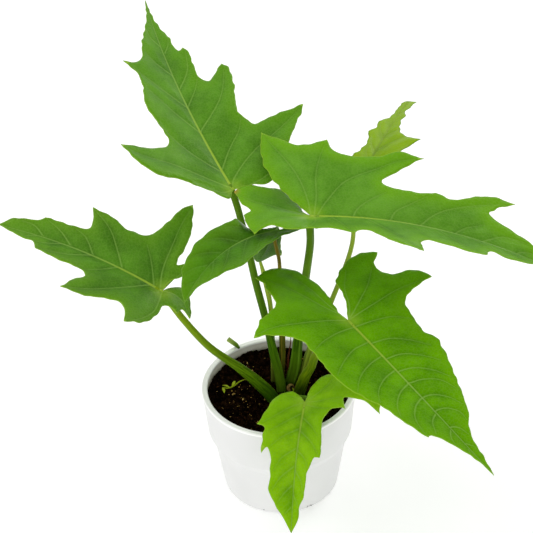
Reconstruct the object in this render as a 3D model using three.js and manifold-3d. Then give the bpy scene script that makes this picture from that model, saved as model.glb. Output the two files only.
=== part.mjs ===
// A young philodendron in a 12 cm nursery pot.
// Millimetres, +Z up, origin at the centre of the pot's underside; the front of the plant faces -Y.

import * as THREE from "three";
import { mergeVertices } from "three/addons/utils/BufferGeometryUtils.js";
import Module from "manifold-3d";

const wasm = await Module();
wasm.setup();

// Driving dimensions

const GAP = 0.3;

const POT_HEIGHT = 94;
const RIM_RADIUS = 60;
const WALL = 2.3;
const BAND_FOOT_RADIUS = 56.8;
const BAND_FOOT_HEIGHT = 56;
const STEP_RADIUS = 52.8;
const STEP_HEIGHT = 48;
const BASE_RADIUS = 45.8;
const FLOOR_THICKNESS = 3;
const POT_FACETS = 48;

const SOIL_LEVEL = 82;
const SOIL_FACETS = 40;
const HOLE_BOTTOM = 72;
const STALK_FOOT = 73;
const HOLE_CLEARANCE = 0.5;

const BLADE_THICKNESS = 0.8;
const MIDRIB_SPACING = 9;
const INNER_SPACING = 13;
const MARGIN_SPACING = 8;
const STALK_SIDES = 8;
const STAGGER = 0.07;
const INNER_MARGIN = 0.45;
const EVENING_PASSES = 60;
const RIB_BOW = 1.5;

// Leaves
// Each blade lies in its own frame: `along` runs from the stalk's joint to the tip, `out` runs
// sideways from the midrib. A tooth is a sharp lobe tip, an edge is a smooth place on the margin.
// Margins run from the joint, round the basal lobe, to the tip.

const tooth = (along, out) => ({ along, out, sharp: true });
const edge = (along, out) => ({ along, out, sharp: false });

const LEAF_BACK_LEFT = {
  joint: [-29, 44, 247], heading: 117, turn: -0.07, rise: 20, arch: 0.04, roll: -3,
  fold: [15, 15], length: 222, wavePhase: 0,
  left: [
    edge(-8, 9), edge(2, 21), edge(13, 39), edge(20, 58), edge(34, 68), tooth(51, 72),
    edge(46, 52), edge(46, 37), edge(53, 31), edge(70, 32), tooth(88, 36), edge(98, 34),
    edge(113, 30), edge(127, 30), tooth(140, 38), edge(139, 26), edge(146, 20), edge(164, 15),
    edge(192, 5),
  ],
  right: [
    edge(-3, 14), edge(-7, 27), edge(-1, 40), edge(13, 51), edge(26, 62), edge(38, 73),
    tooth(49, 82), edge(50, 62), edge(49, 42), edge(56, 36), edge(65, 34), edge(76, 35),
    edge(90, 40), edge(105, 43), edge(114, 43), tooth(120, 39.5), edge(112, 31), edge(107, 24),
    edge(113, 19), edge(122, 18), edge(137, 19), edge(146, 19), tooth(151, 16.5), edge(149.5, 12),
    edge(166, 9), edge(190, 3),
  ],
};

const LEAF_RIGHT = {
  joint: [27, 4, 248], heading: -6, turn: -0.05, rise: 3, arch: 0.15, roll: 0,
  fold: [20, 19], length: 177, wavePhase: 1, lobeDroop: [0, 0.63], lobeDroopLimit: 32,
  left: [
    edge(-5, 5.5), edge(-12, 13), edge(-19, 22), edge(-26, 31), edge(-37, 53), tooth(-39, 80),
    edge(-25, 74), edge(-8, 67), tooth(8, 70), edge(13, 59), edge(25, 55), edge(42, 58),
    edge(58, 64), tooth(74, 60), edge(62, 50), edge(48, 36), edge(54, 30), edge(74, 29),
    tooth(86, 31), edge(96, 28), edge(108, 34), edge(124, 42), tooth(141, 41), edge(131, 34),
    edge(125, 26), edge(135, 20), edge(148, 17), tooth(161, 12),
  ],
  right: [
    edge(-5, -5), edge(-7, -11), edge(-14, -28), tooth(-24, -40), edge(-38, -37),
    edge(-50, -36), tooth(-58, -30), edge(-52, -17), edge(-45, -10), tooth(-50, -5), edge(-46, 7),
    tooth(-40, 18), edge(-34, 11), edge(-26, 11), edge(-13, 23), edge(3, 33), edge(17, 30),
    tooth(33, 38), edge(38, 30), edge(46, 33), edge(62, 55), tooth(82, 61), edge(80, 42),
    edge(86, 31), edge(100, 31), edge(114, 34), tooth(126, 32), edge(132, 17), edge(143, 21),
    edge(158, 12),
  ],
};

const LEAF_LEFT = {
  joint: [-85, 10, 181], heading: 160, turn: 0.06, rise: 27, arch: 0.13, roll: 13,
  fold: [15, 16], length: 134, wavePhase: 2,
  left: [
    edge(-4, -8), edge(-11, -14), edge(-18, -12), edge(-23, -4), tooth(-29, 9), edge(-20, 6),
    tooth(-19, 13), edge(-12, 10), edge(-7, 13), edge(-6, 27), edge(0, 42), tooth(12, 51),
    edge(15, 42), edge(21, 35), edge(33, 37), edge(48, 45), tooth(67, 48), edge(62, 35),
    edge(55, 25), edge(63, 20), edge(78, 20), tooth(100, 15), edge(104, 9), edge(113, 8),
    edge(124, 4),
  ],
  right: [
    edge(0, 6), edge(-5, 15), edge(-10, 23), edge(-4, 28), edge(1, 23), edge(2, 35),
    edge(4, 52), tooth(13, 74), edge(20, 61), edge(23, 48), edge(30, 33), edge(43, 30),
    edge(56, 34), tooth(74, 36), edge(70, 27), edge(71, 19), edge(87, 16), tooth(103, 16),
    edge(107, 12), edge(124, 8),
  ],
};

const LEAF_FRONT_RIGHT = {
  joint: [50, -58, 200], heading: -60, turn: 0.015, rise: -4, arch: 0.04, roll: 4,
  fold: [8, 8], length: 165, wavePhase: 3,
  left: [
    edge(-6, 3), edge(-14, 8), edge(-28, 13), edge(-42, 18), edge(-54, 32), edge(-58, 48),
    tooth(-52, 61), edge(-44, 53), edge(-33, 49), edge(-23, 54), edge(-17, 69), tooth(-3, 75),
    edge(-1, 60), edge(6, 44), edge(20, 41), edge(37, 38), edge(50, 41), edge(68, 36),
    edge(90, 29), edge(112, 20), edge(131, 8), edge(148, 4),
  ],
  right: [
    edge(-6, 2), edge(-16, 0), edge(-30, -3), edge(-50, -4), edge(-66, -1), edge(-77, 8),
    edge(-77, 22), tooth(-71, 34), edge(-62, 33), edge(-48, 36), edge(-36, 39), edge(-27, 47),
    edge(-18, 62), tooth(-3, 78), edge(-3, 66), edge(3, 51), edge(11, 45), edge(26, 46),
    edge(48, 48), edge(66, 43), edge(84, 33), edge(106, 27), tooth(121, 21), edge(121, 17),
    edge(130, 10), edge(150, 2),
  ],
};

const LEAF_FRONT = {
  joint: [19, -38, 108], heading: -102, turn: 0.06, rise: -9, arch: 0.36, roll: -2,
  fold: [12, 12], length: 104, wavePhase: 4,
  left: [
    edge(-6, 1), edge(-14, 2), edge(-22, 7), edge(-27, 14), edge(-23, 24), edge(-13, 35),
    edge(-5, 47), edge(4, 58), tooth(14, 60), edge(8, 54), edge(3, 49), edge(0, 41),
    edge(-2, 31), tooth(8, 33), edge(7, 25), edge(11, 19), edge(22, 16), edge(35, 18),
    tooth(48, 18), edge(48, 14), edge(52, 11), edge(63, 9), tooth(76, 8), edge(84, 6),
    edge(95, 4),
  ],
  right: [
    edge(-5, 5), edge(-7, 11), edge(-4, 18), edge(4, 24), edge(16, 28), tooth(27, 32),
    edge(28, 26), edge(36, 27), tooth(48, 26), edge(44, 22), edge(49, 19), edge(62, 18),
    edge(74, 18), edge(81, 15), edge(90, 8),
  ],
};

const LEAF_CENTRE = {
  joint: [0, 6, 235], heading: -157, turn: 0.4, rise: 8, arch: 0.46, roll: 7,
  fold: [12, 12], length: 92, wavePhase: 5,
  lobeDroop: [0, 5.5], lobeDroopLimit: 85, droopStart: 20, droopReach: 14,
  left: [
    edge(-6, 0), edge(-14, -1), tooth(-19, 3), edge(-12, 6), edge(-4, 8), edge(6, 14),
    edge(16, 17), edge(24, 20), edge(35, 23), edge(46, 23), edge(54, 18), edge(62, 14),
    edge(69, 9), edge(77, 4), edge(85, 2),
  ],
  right: [
    edge(-4, 3), edge(-9, 10), edge(-12, 22), tooth(-18, 38), edge(-11, 36), edge(0, 42),
    edge(6, 40), edge(8, 31), edge(13, 22), edge(22, 19), edge(33, 20), edge(45, 20),
    edge(58, 18), edge(73, 13), edge(84, 6),
  ],
};

const LEAF_YOUNG = {
  joint: [64, 50, 243], heading: 69, turn: 0, rise: 7, arch: 0.13, roll: -4,
  fold: [16, 16], length: 143, wavePhase: 6,
  left: [
    edge(-10, 7), edge(-13, 18), tooth(-2, 27), edge(14, 20), edge(29, 14), edge(41, 11),
    edge(53, 9), tooth(67, 13), edge(76, 9), tooth(86, 10), edge(99, 5), edge(115, 4),
    edge(137, 3),
  ],
  right: [
    edge(-8, 5), edge(-11, 12), tooth(-3, 18), edge(12, 17), edge(28, 17), edge(45, 20),
    tooth(63, 32), edge(67, 20), edge(77, 11), edge(98, 6), tooth(108, 7), edge(118, 4),
    tooth(126, 6), edge(134, 5.5), tooth(140, 7.5),
  ],
};

const NO_DROOP = [0, 0];
const FRAME_STEP = 2;
const FRAME_BEHIND = 120;
const LOBE_SAG = 0.1;
const WAVE_HEIGHT = 1;
const WAVE_REACH = 40;
const WAVE_LIMIT = 1.2;
const WAVE_STRETCH = 11;
const WAVE_SIDE_SHIFT = 0.9;

const { degToRad } = THREE.MathUtils;
const UP = new THREE.Vector3(0, 0, 1);

// The midrib as a row of frames: a place, the direction to the right and the upward normal.
function midribFrames(leaf) {
  const frames = [];
  const count = Math.ceil((FRAME_BEHIND + leaf.length + 2 * MIDRIB_SPACING) / FRAME_STEP);
  const place = new THREE.Vector3();
  let previous = null;
  for (let i = 0; i <= count; i++) {
    const along = i * FRAME_STEP - FRAME_BEHIND;
    const ahead = Math.max(along, 0);
    const heading = degToRad(leaf.heading + leaf.turn * ahead);
    const pitch = degToRad(leaf.rise - leaf.arch * ahead - LOBE_SAG * Math.min(along, 0));
    const level = new THREE.Vector3(Math.cos(heading), Math.sin(heading), 0);
    const tangent = level.clone().multiplyScalar(Math.cos(pitch)).addScaledVector(UP, Math.sin(pitch));
    const side = level.clone().cross(UP);
    const lift = side.clone().cross(tangent);
    const roll = degToRad(leaf.roll);
    if (previous) {
      place.addScaledVector(tangent, FRAME_STEP / 2).addScaledVector(previous, FRAME_STEP / 2);
    }
    previous = tangent;
    frames.push({
      place: place.clone(),
      right: side.clone().multiplyScalar(Math.cos(roll)).addScaledVector(lift, Math.sin(roll)),
      normal: lift.clone().multiplyScalar(Math.cos(roll)).addScaledVector(side, -Math.sin(roll)),
    });
  }
  const shift = new THREE.Vector3(...leaf.joint).sub(frames[FRAME_BEHIND / FRAME_STEP].place);
  frames.forEach((frame) => frame.place.add(shift));
  return frames;
}

function frameAt(frames, along) {
  const position = (along + FRAME_BEHIND) / FRAME_STEP;
  const low = Math.min(Math.max(Math.floor(position), 0), frames.length - 2);
  const mix = position - low;
  const blend = (key) => frames[low][key].clone().lerp(frames[low + 1][key], mix);
  return { place: blend("place"), right: blend("right"), normal: blend("normal") };
}

// The angle by which a half blade leans up from the midrib; the basal lobe may droop.
function foldAngle(leaf, along, out, half) {
  const droop = (leaf.lobeDroop ?? NO_DROOP)[half] * Math.max((leaf.droopStart ?? 0) - along, 0);
  const share = leaf.droopReach ? THREE.MathUtils.smoothstep(out, 0, leaf.droopReach) : 1;
  return degToRad(leaf.fold[half] - share * Math.min(droop, leaf.lobeDroopLimit ?? 0));
}

function bladePoint(leaf, frames, along, out, side) {
  const frame = frameAt(frames, along);
  const fold = foldAngle(leaf, along, out, side > 0 ? 1 : 0);
  const reach = Math.min(Math.max(out, 0) / WAVE_REACH, WAVE_LIMIT);
  const swing = Math.sin(along / WAVE_STRETCH + leaf.wavePhase + WAVE_SIDE_SHIFT * side);
  const lift = out * Math.sin(fold) + WAVE_HEIGHT * reach * reach * swing;
  return frame.place
    .addScaledVector(frame.right, side * out * Math.cos(fold))
    .addScaledVector(frame.normal, lift);
}

// A point `drop` below the midrib, where the stalk runs.
function underMidrib(leaf, along, drop) {
  const frame = frameAt(midribFrames(leaf), along);
  return frame.place.addScaledVector(frame.normal, -drop);
}

// The margin from the joint to the tip: smooth through the edges, with corners at the teeth.
function marginPoints(places, length) {
  const stops = [tooth(0, 0), ...places, tooth(length, 0)];
  const at = (i) => new THREE.Vector2(stops[i].along, stops[i].out);
  const points = [];
  for (let i = 0; i < stops.length - 1; i++) {
    const chord = at(i + 1).sub(at(i));
    const limit = chord.length();
    const leave = stops[i].sharp ? chord.clone() : at(i + 1).sub(at(i - 1)).divideScalar(2);
    const arrive = stops[i + 1].sharp ? chord.clone() : at(i + 2).sub(at(i)).divideScalar(2);
    leave.clampLength(0, limit);
    arrive.clampLength(0, limit);
    const pieces = Math.max(2, Math.round(limit / MARGIN_SPACING));
    for (let k = 0; k < pieces; k++) {
      const t = k / pieces;
      const point = at(i).multiplyScalar(2 * t ** 3 - 3 * t ** 2 + 1);
      point.addScaledVector(leave, t ** 3 - 2 * t ** 2 + t);
      point.addScaledVector(at(i + 1), 3 * t ** 2 - 2 * t ** 3);
      point.addScaledVector(arrive, t ** 3 - t ** 2);
      points.push(point);
    }
  }
  return points;
}

function insideOutline(point, outline) {
  let inside = false;
  outline.forEach((a, i) => {
    const b = outline[(i + 1) % outline.length];
    const crosses = a.y > point.y !== b.y > point.y;
    if (crosses && point.x < ((b.x - a.x) * (point.y - a.y)) / (b.y - a.y) + a.x) {
      inside = !inside;
    }
  });
  return inside;
}

function distanceToOutline(point, outline) {
  const nearest = new THREE.Vector3();
  const target = new THREE.Vector3(point.x, point.y, 0);
  const distances = outline.map((a, i) => {
    const b = outline[(i + 1) % outline.length];
    const line = new THREE.Line3(new THREE.Vector3(a.x, a.y, 0), new THREE.Vector3(b.x, b.y, 0));
    return line.closestPointToPoint(target, true, nearest).distanceTo(target);
  });
  return Math.min(...distances);
}

// Evenly spaced points inside an outline, in offset rows, clear of its edge.
function innerPoints(outline, spacing) {
  const box = new THREE.Box2().setFromPoints(outline);
  const points = [];
  const rowStep = spacing * Math.sin(Math.PI / 3);
  const rows = Math.ceil((box.max.y - box.min.y) / rowStep);
  const columns = Math.ceil((box.max.x - box.min.x) / spacing);
  for (let row = 1; row <= rows; row++) {
    for (let column = 0; column <= columns; column++) {
      const x = box.min.x + (column + (row % 2) / 2) * spacing;
      const stagger = STAGGER * spacing * Math.sin(3 * column + 7 * row);
      const point = new THREE.Vector2(x, box.min.y + row * rowStep + stagger);
      const clear = spacing * INNER_MARGIN;
      if (insideOutline(point, outline) && distanceToOutline(point, outline) > clear) {
        points.push(point);
      }
    }
  }
  return points;
}

const cross2 = (a, b, c) => (b.x - a.x) * (c.y - a.y) - (b.y - a.y) * (c.x - a.x);

function insideCircle(a, b, c, p) {
  const rows = [a, b, c].map((q) => {
    const x = q.x - p.x;
    const y = q.y - p.y;
    return [x, y, x * x + y * y];
  });
  return new THREE.Matrix3().set(...rows.flat()).determinant() > 1e-7;
}

// Swaps the shared edges of neighbouring triangles until none of them is needlessly thin.
function evenOut(points, faces) {
  for (let pass = 0; pass < EVENING_PASSES; pass++) {
    const owners = new Map();
    faces.forEach((face, f) => {
      face.forEach((a, k) => owners.set(`${a},${face[(k + 1) % 3]}`, f));
    });
    const used = new Set();
    let swaps = 0;
    faces.forEach((face, f) => {
      for (let k = 0; k < 3; k++) {
        const [a, b, c] = [face[k], face[(k + 1) % 3], face[(k + 2) % 3]];
        const g = owners.get(`${b},${a}`);
        if (g === undefined || used.has(f) || used.has(g)) continue;
        const d = faces[g].find((v) => v !== a && v !== b);
        const [pa, pb, pc, pd] = [a, b, c, d].map((v) => points[v]);
        const convex = cross2(pc, pa, pd) > 1e-6 && cross2(pd, pb, pc) > 1e-6;
        if (convex && insideCircle(pa, pb, pc, pd)) {
          faces[f] = [c, a, d];
          faces[g] = [d, b, c];
          used.add(f).add(g);
          swaps += 1;
        }
      }
    });
    if (swaps === 0) break;
  }
  return faces;
}

// Triangles of a flat outline with points inside it, all counterclockwise.
function triangulate(outline, inner) {
  const points = [...outline, ...inner];
  const holes = inner.map((point) => [point]);
  const faces = THREE.ShapeUtils.triangulateShape([...outline], holes).map(([a, b, c]) =>
    cross2(points[a], points[b], points[c]) > 0 ? [a, b, c] : [a, c, b],
  );
  return evenOut(points, faces);
}

function closedGeometry(points, faces) {
  const geometry = new THREE.BufferGeometry().setFromPoints(points);
  geometry.setIndex(faces.flat());
  geometry.computeVertexNormals();
  return geometry;
}

// A sheet thickened by the same amount to both sides, with the same triangles on both faces.
function thicken(points, faces, thickness) {
  const sheet = closedGeometry(points, faces);
  const normals = sheet.getAttribute("normal");
  const offset = (sign) =>
    points.map((point, i) => {
      const normal = new THREE.Vector3().fromBufferAttribute(normals, i);
      return point.clone().addScaledVector(normal, (sign * thickness) / 2);
    });
  const count = points.length;
  const solid = [...faces];
  const edges = new Set(faces.flatMap(([a, b, c]) => [`${a},${b}`, `${b},${c}`, `${c},${a}`]));
  faces.forEach(([a, b, c]) => {
    solid.push([a + count, c + count, b + count]);
    [[a, b], [b, c], [c, a]].forEach(([p, q]) => {
      if (!edges.has(`${q},${p}`)) {
        solid.push([q, p, p + count], [q, p + count, q + count]);
      }
    });
  });
  return closedGeometry([...offset(1), ...offset(-1)], solid);
}

function bladeGeometry(leaf) {
  const frames = midribFrames(leaf);
  const stations = Math.round(leaf.length / MIDRIB_SPACING);
  const places = [];
  for (let i = 0; i <= stations; i++) {
    places.push({ along: (i * leaf.length) / stations, out: 0, side: 1 });
  }
  const faces = [];
  const halves = [{ side: -1, margin: leaf.left }, { side: 1, margin: leaf.right }];
  halves.forEach(({ side, margin }) => {
    const outer = marginPoints(margin, leaf.length).slice(1);
    // The midrib bows inwards here, so that no triangle is made of three points on it.
    const rib = places.slice(0, stations + 1).map(({ along }) => {
      return new THREE.Vector2(along, RIB_BOW * Math.sin((Math.PI * along) / leaf.length));
    });
    const outline = [rib[0], ...outer, ...rib.slice(1).reverse()];
    const inner = innerPoints(outline, INNER_SPACING);
    const first = places.length;
    [...outer, ...inner].forEach(({ x, y }) => places.push({ along: x, out: y, side }));
    const index = [
      0,
      ...outer.map((_, i) => first + i),
      ...rib.slice(1).map((_, i) => stations - i),
      ...inner.map((_, i) => first + outer.length + i),
    ];
    triangulate(outline, inner).forEach(([a, b, c]) => {
      const face = [index[a], index[b], index[c]];
      faces.push(side < 0 ? face : face.reverse());
    });
  });
  const points = places.map(({ along, out, side }) => bladePoint(leaf, frames, along, out, side));
  return thicken(points, faces, BLADE_THICKNESS);
}

// Stalks

// A closed rod along a smooth path; `radii` are spread evenly along it, and `flat` narrows the
// section to a strip.
function rodGeometry(path, radii, { pieces = 12, sides = STALK_SIDES, flat = 1 } = {}) {
  const curve = new THREE.CatmullRomCurve3(path, false, "centripetal");
  const frames = curve.computeFrenetFrames(pieces, false);
  const points = [];
  const faces = [];
  for (let i = 0; i <= pieces; i++) {
    const t = i / pieces;
    const position = t * (radii.length - 1);
    const low = Math.min(Math.floor(position), radii.length - 2);
    const radius = THREE.MathUtils.lerp(radii[low], radii[low + 1], position - low);
    const centre = curve.getPointAt(t);
    for (let k = 0; k < sides; k++) {
      const angle = (2 * Math.PI * k) / sides;
      points.push(
        centre
          .clone()
          .addScaledVector(frames.normals[i], radius * Math.cos(angle))
          .addScaledVector(frames.binormals[i], radius * flat * Math.sin(angle)),
      );
      const next = (k + 1) % sides;
      if (i < pieces) {
        const [a, b] = [i * sides + k, i * sides + next];
        faces.push([a, b, b + sides], [a, b + sides, a + sides]);
      }
    }
  }
  const foot = points.push(curve.getPointAt(0)) - 1;
  const top = points.push(curve.getPointAt(1)) - 1;
  for (let k = 0; k < sides; k++) {
    const next = (k + 1) % sides;
    faces.push([foot, next, k], [top, pieces * sides + k, pieces * sides + next]);
  }
  return closedGeometry(points, faces);
}

const vectors = (rows) => rows.map((row) => new THREE.Vector3(...row));

// Where each stalk stands in the soil, and how thick its foot is.
const FEET = {
  back_left: { x: 2, y: 5.8, radius: 3.9 },
  right: { x: 9.5, y: 14, radius: 4.5 },
  left: { x: -5.2, y: -4.6, radius: 5 },
  front_right: { x: 16, y: 0, radius: 4.4 },
  front: { x: 6.5, y: -5.6, radius: 3.2 },
  centre: { x: 1.6, y: 16, radius: 2.6 },
  young: { x: 17.2, y: 10, radius: 2.8 },
  shoot: { x: -4.2, y: 18.2, radius: 1.9 },
};
const CROWN = { x: 9.2, y: 4.4, radius: 3, top: 90 };
const CATAPHYLL_FOOT = { x: 7.6, y: 20.4, radius: 2.2 };

const STALK_PIECES = 14;
const STRAIGHT_RISE = 2;
const USUAL_APPROACH = [-10, 5];
const USUAL_REACH = 6;
const ELBOW = { along: -1, drop: 0.5 };
const END_DROP = 0.15;
const SHEATH_TAPER = 0.95;
const MIDDLE_TAPER = 0.72;
const NECK_SWELL = 1.08;

// A stalk rises straight out of its hole, bends along `via`, and runs on under its midrib.
// `approach` is a place behind the joint, and how far below the midrib, that it comes past; it
// ends `reach` beyond the joint. `below` lowers its end where the blade bends down there. `full`
// is the radius that it keeps over its middle instead of tapering.
function stalkGeometry(foot, stalk) {
  const { leaf, via, end: tip, approach = USUAL_APPROACH, reach = USUAL_REACH, below = 0 } = stalk;
  const drop = BLADE_THICKNESS / 2 + GAP + tip + below;
  const path = [
    ...vectors([[foot.x, foot.y, STALK_FOOT], [foot.x, foot.y, SOIL_LEVEL + STRAIGHT_RISE], ...via]),
    underMidrib(leaf, approach[0], drop + approach[1]),
    underMidrib(leaf, ELBOW.along, drop + ELBOW.drop),
    underMidrib(leaf, reach, drop + END_DROP),
  ];
  const middle = THREE.MathUtils.lerp(foot.radius, tip, MIDDLE_TAPER);
  const tapered = [foot.radius, foot.radius * SHEATH_TAPER, middle, tip * NECK_SWELL, tip, tip];
  const radii = stalk.full ? [foot.radius, stalk.full, stalk.full, stalk.full, tip, tip] : tapered;
  return rodGeometry(path, radii, { pieces: STALK_PIECES });
}

const STALKS = {
  back_left: {
    leaf: LEAF_BACK_LEFT, end: 2.7,
    via: [
      [-0.3, 9, 102], [-3.3, 11.2, 118], [-9, 17.5, 149], [-14.5, 23.5, 174], [-20, 31, 204],
      [-25, 38, 228],
    ],
  },
  right: {
    leaf: LEAF_RIGHT, end: 2.9, approach: [-1.5, 9],
    via: [[13.2, 13.5, 100], [15.8, 12.6, 127], [21, 11, 176], [26.2, 8.5, 220]],
  },
  left: {
    leaf: LEAF_LEFT, end: 2.6,
    via: [[-16, -3, 99], [-29, -2, 113], [-52, 2, 132], [-71, 6, 157]],
  },
  front_right: {
    leaf: LEAF_FRONT_RIGHT, end: 2.8,
    via: [[20, -6, 105], [25, -14, 123], [28, -22, 140], [38, -38, 168]],
  },
  front: {
    leaf: LEAF_FRONT, end: 1.8,
    via: [[8, -10, 92], [12, -19, 97]],
  },
  centre: {
    leaf: LEAF_CENTRE, end: 1.4, full: 2.4, approach: [-3, 8], reach: 0.5, below: 1.9,
    via: [[3.6, 14.5, 117], [3.6, 13, 158], [3.4, 10, 190], [3, 8, 208]],
  },
  young: {
    leaf: LEAF_YOUNG, end: 1.7,
    via: [[20.3, 11.6, 98], [25.4, 15.6, 116], [43, 25, 156], [59, 38, 198]],
  },
};

// The small pieces: a path and the radii along it.
const SHOOT = {
  path: [
    [FEET.shoot.x, FEET.shoot.y, STALK_FOOT], [-4, 19, 99], [-3.6, 20, 123], [-4.6, 21.4, 156],
    [-6.5, 22, 170], [-10, 24, 190], [-14, 25, 206],
  ],
  radii: [FEET.shoot.radius, 1.8, 1.7, 1.8, 2, 0.4],
  pieces: 12,
};
const CATAPHYLL = {
  path: [
    [CATAPHYLL_FOOT.x, CATAPHYLL_FOOT.y, STALK_FOOT + 2], [7.7, 20.4, 92], [8.2, 20.6, 104],
    [10, 21, 116], [10.6, 21.6, 124],
  ],
  radii: [1.9, 2.2, 2, 1.6, 0.6],
  pieces: 8,
  flat: 0.3,
};
const STALK_END = {
  path: [[-30.6, 44.8, 95.6], [-33, 48.4, 96.2], [-36, 50.8, 97.2], [-39.2, 53, 98.6]],
  radii: [0.8, 1.5, 1.6, 1.7],
  pieces: 6,
};

const smallRod = ({ path, radii, pieces, flat }) => rodGeometry(vectors(path), radii, { pieces, flat });

// Pot, soil and the small pieces in it

function toSolid(geometry) {
  const bare = geometry.clone();
  bare.deleteAttribute("normal");
  bare.deleteAttribute("uv");
  const merged = mergeVertices(bare);
  const vertProperties = new Float32Array(merged.getAttribute("position").array);
  const triVerts = new Uint32Array(merged.getIndex().array);
  return new wasm.Manifold(new wasm.Mesh({ numProp: 3, vertProperties, triVerts }));
}

function toGeometry(solid) {
  const mesh = solid.getMesh();
  const geometry = new THREE.BufferGeometry();
  geometry.setAttribute("position", new THREE.BufferAttribute(mesh.vertProperties, 3));
  geometry.setIndex([...mesh.triVerts]);
  geometry.computeVertexNormals();
  return geometry;
}

// Turns a profile of [radius, height] pairs about the pot's axis; the profile runs from the
// bottom of the axis, up the outside, to the top of the axis.
function turned(profile, facets) {
  const points = profile.map(([radius, height]) => new THREE.Vector2(radius, height));
  return mergeAxis(new THREE.LatheGeometry(points, facets).rotateX(Math.PI / 2));
}

function mergeAxis(geometry) {
  geometry.deleteAttribute("normal");
  geometry.deleteAttribute("uv");
  const merged = mergeVertices(geometry, 1e-4);
  const position = merged.getAttribute("position");
  const index = merged.getIndex().array;
  const faces = [];
  for (let i = 0; i < index.length; i += 3) {
    const [a, b, c] = [index[i], index[i + 1], index[i + 2]];
    if (a !== b && b !== c && c !== a) faces.push([a, b, c]);
  }
  const points = [];
  for (let i = 0; i < position.count; i++) {
    points.push(new THREE.Vector3().fromBufferAttribute(position, i));
  }
  return closedGeometry(points, faces);
}

const INNER_STEP_RADIUS = STEP_RADIUS - WALL;
const INNER_BAND_RADIUS = BAND_FOOT_RADIUS - WALL;
const LIP_ROUND = 0.7;

function potGeometry() {
  return turned(
    [
      [0, 0],
      [BASE_RADIUS - 1, 0],
      [BASE_RADIUS, 1],
      [STEP_RADIUS, STEP_HEIGHT],
      [BAND_FOOT_RADIUS, BAND_FOOT_HEIGHT],
      [RIM_RADIUS, POT_HEIGHT - LIP_ROUND],
      [RIM_RADIUS - LIP_ROUND, POT_HEIGHT],
      [RIM_RADIUS - WALL + LIP_ROUND, POT_HEIGHT],
      [RIM_RADIUS - WALL, POT_HEIGHT - LIP_ROUND],
      [INNER_BAND_RADIUS, BAND_FOOT_HEIGHT],
      [INNER_STEP_RADIUS, STEP_HEIGHT],
      [BASE_RADIUS - WALL, FLOOR_THICKNESS],
      [0, FLOOR_THICKNESS],
    ],
    POT_FACETS,
  );
}

const SOIL_DIP = 0.6;
const MOUND = { height: 1.6, reach: 26 };
const WIDE_LUMPS = { height: 0.7, acrossX: 5.1, acrossY: 4.3, shift: 1.3 };
const SLANT_LUMPS = { height: 0.5, acrossX: 7.7, acrossY: 3.1 };
const SOIL_RINGS = [8, 16, 24, 32, 40, 47, 52];
const WALL_PLAY = 0.1;
const SOIL_EDGE = { inwards: 0.4, drop: 0.8 };

// The soil's surface: low lumps, a little higher round the stalks and lower at the wall.
function soilHeight(x, y) {
  const distance = Math.hypot(x - CROWN.x, y - CROWN.y);
  const mound = MOUND.height * Math.exp(-((distance / MOUND.reach) ** 2));
  const wide = Math.sin(x / WIDE_LUMPS.acrossX + WIDE_LUMPS.shift) * Math.cos(y / WIDE_LUMPS.acrossY);
  const slant = Math.sin(y / SLANT_LUMPS.acrossY + x / SLANT_LUMPS.acrossX);
  const lumps = WIDE_LUMPS.height * wide + SLANT_LUMPS.height * slant;
  return SOIL_LEVEL - SOIL_DIP + mound + lumps;
}

function wallRadiusAt(height) {
  const slope = (RIM_RADIUS - BAND_FOOT_RADIUS) / (POT_HEIGHT - BAND_FOOT_HEIGHT);
  return INNER_BAND_RADIUS + slope * (height - BAND_FOOT_HEIGHT);
}

function soilBody() {
  const points = [new THREE.Vector3(0, 0, soilHeight(0, 0))];
  const faces = [];
  const addRing = (radius, heightAt) => {
    const start = points.length;
    for (let k = 0; k < SOIL_FACETS; k++) {
      const angle = (2 * Math.PI * k) / SOIL_FACETS;
      const [x, y] = [radius * Math.cos(angle), radius * Math.sin(angle)];
      points.push(new THREE.Vector3(x, y, heightAt(x, y)));
    }
    return start;
  };
  const join = (inner, outer) => {
    for (let k = 0; k < SOIL_FACETS; k++) {
      const next = (k + 1) % SOIL_FACETS;
      faces.push([inner + k, outer + k, outer + next], [inner + k, outer + next, inner + next]);
    }
  };
  // The flat facets of the pot's inside lie closer in than its corners do.
  const facetShare = Math.cos(Math.PI / POT_FACETS);
  const clear = (radius) => radius * facetShare - GAP - WALL_PLAY;
  const edgeRadius = clear(wallRadiusAt(SOIL_LEVEL)) - SOIL_EDGE.inwards;
  const starts = SOIL_RINGS.map((radius) => addRing(radius, soilHeight));
  starts.push(addRing(edgeRadius, () => SOIL_LEVEL - SOIL_EDGE.drop));
  starts.push(addRing(clear(INNER_BAND_RADIUS) - WALL_PLAY, () => BAND_FOOT_HEIGHT));
  starts.push(addRing(clear(INNER_STEP_RADIUS), () => STEP_HEIGHT - 2 * WALL_PLAY));
  starts.push(addRing(clear(BASE_RADIUS - WALL), () => FLOOR_THICKNESS + GAP));
  for (let k = 0; k < SOIL_FACETS; k++) {
    faces.push([0, starts[0] + k, starts[0] + ((k + 1) % SOIL_FACETS)]);
  }
  for (let i = 1; i < starts.length; i++) {
    join(starts[i - 1], starts[i]);
  }
  const bottom = points.push(new THREE.Vector3(0, 0, FLOOR_THICKNESS + GAP)) - 1;
  const last = starts[starts.length - 1];
  for (let k = 0; k < SOIL_FACETS; k++) {
    faces.push([bottom, last + ((k + 1) % SOIL_FACETS), last + k]);
  }
  return closedGeometry(points, faces);
}

const HOLE_FACETS = 12;
const HOLE_CUT = 30;

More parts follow.
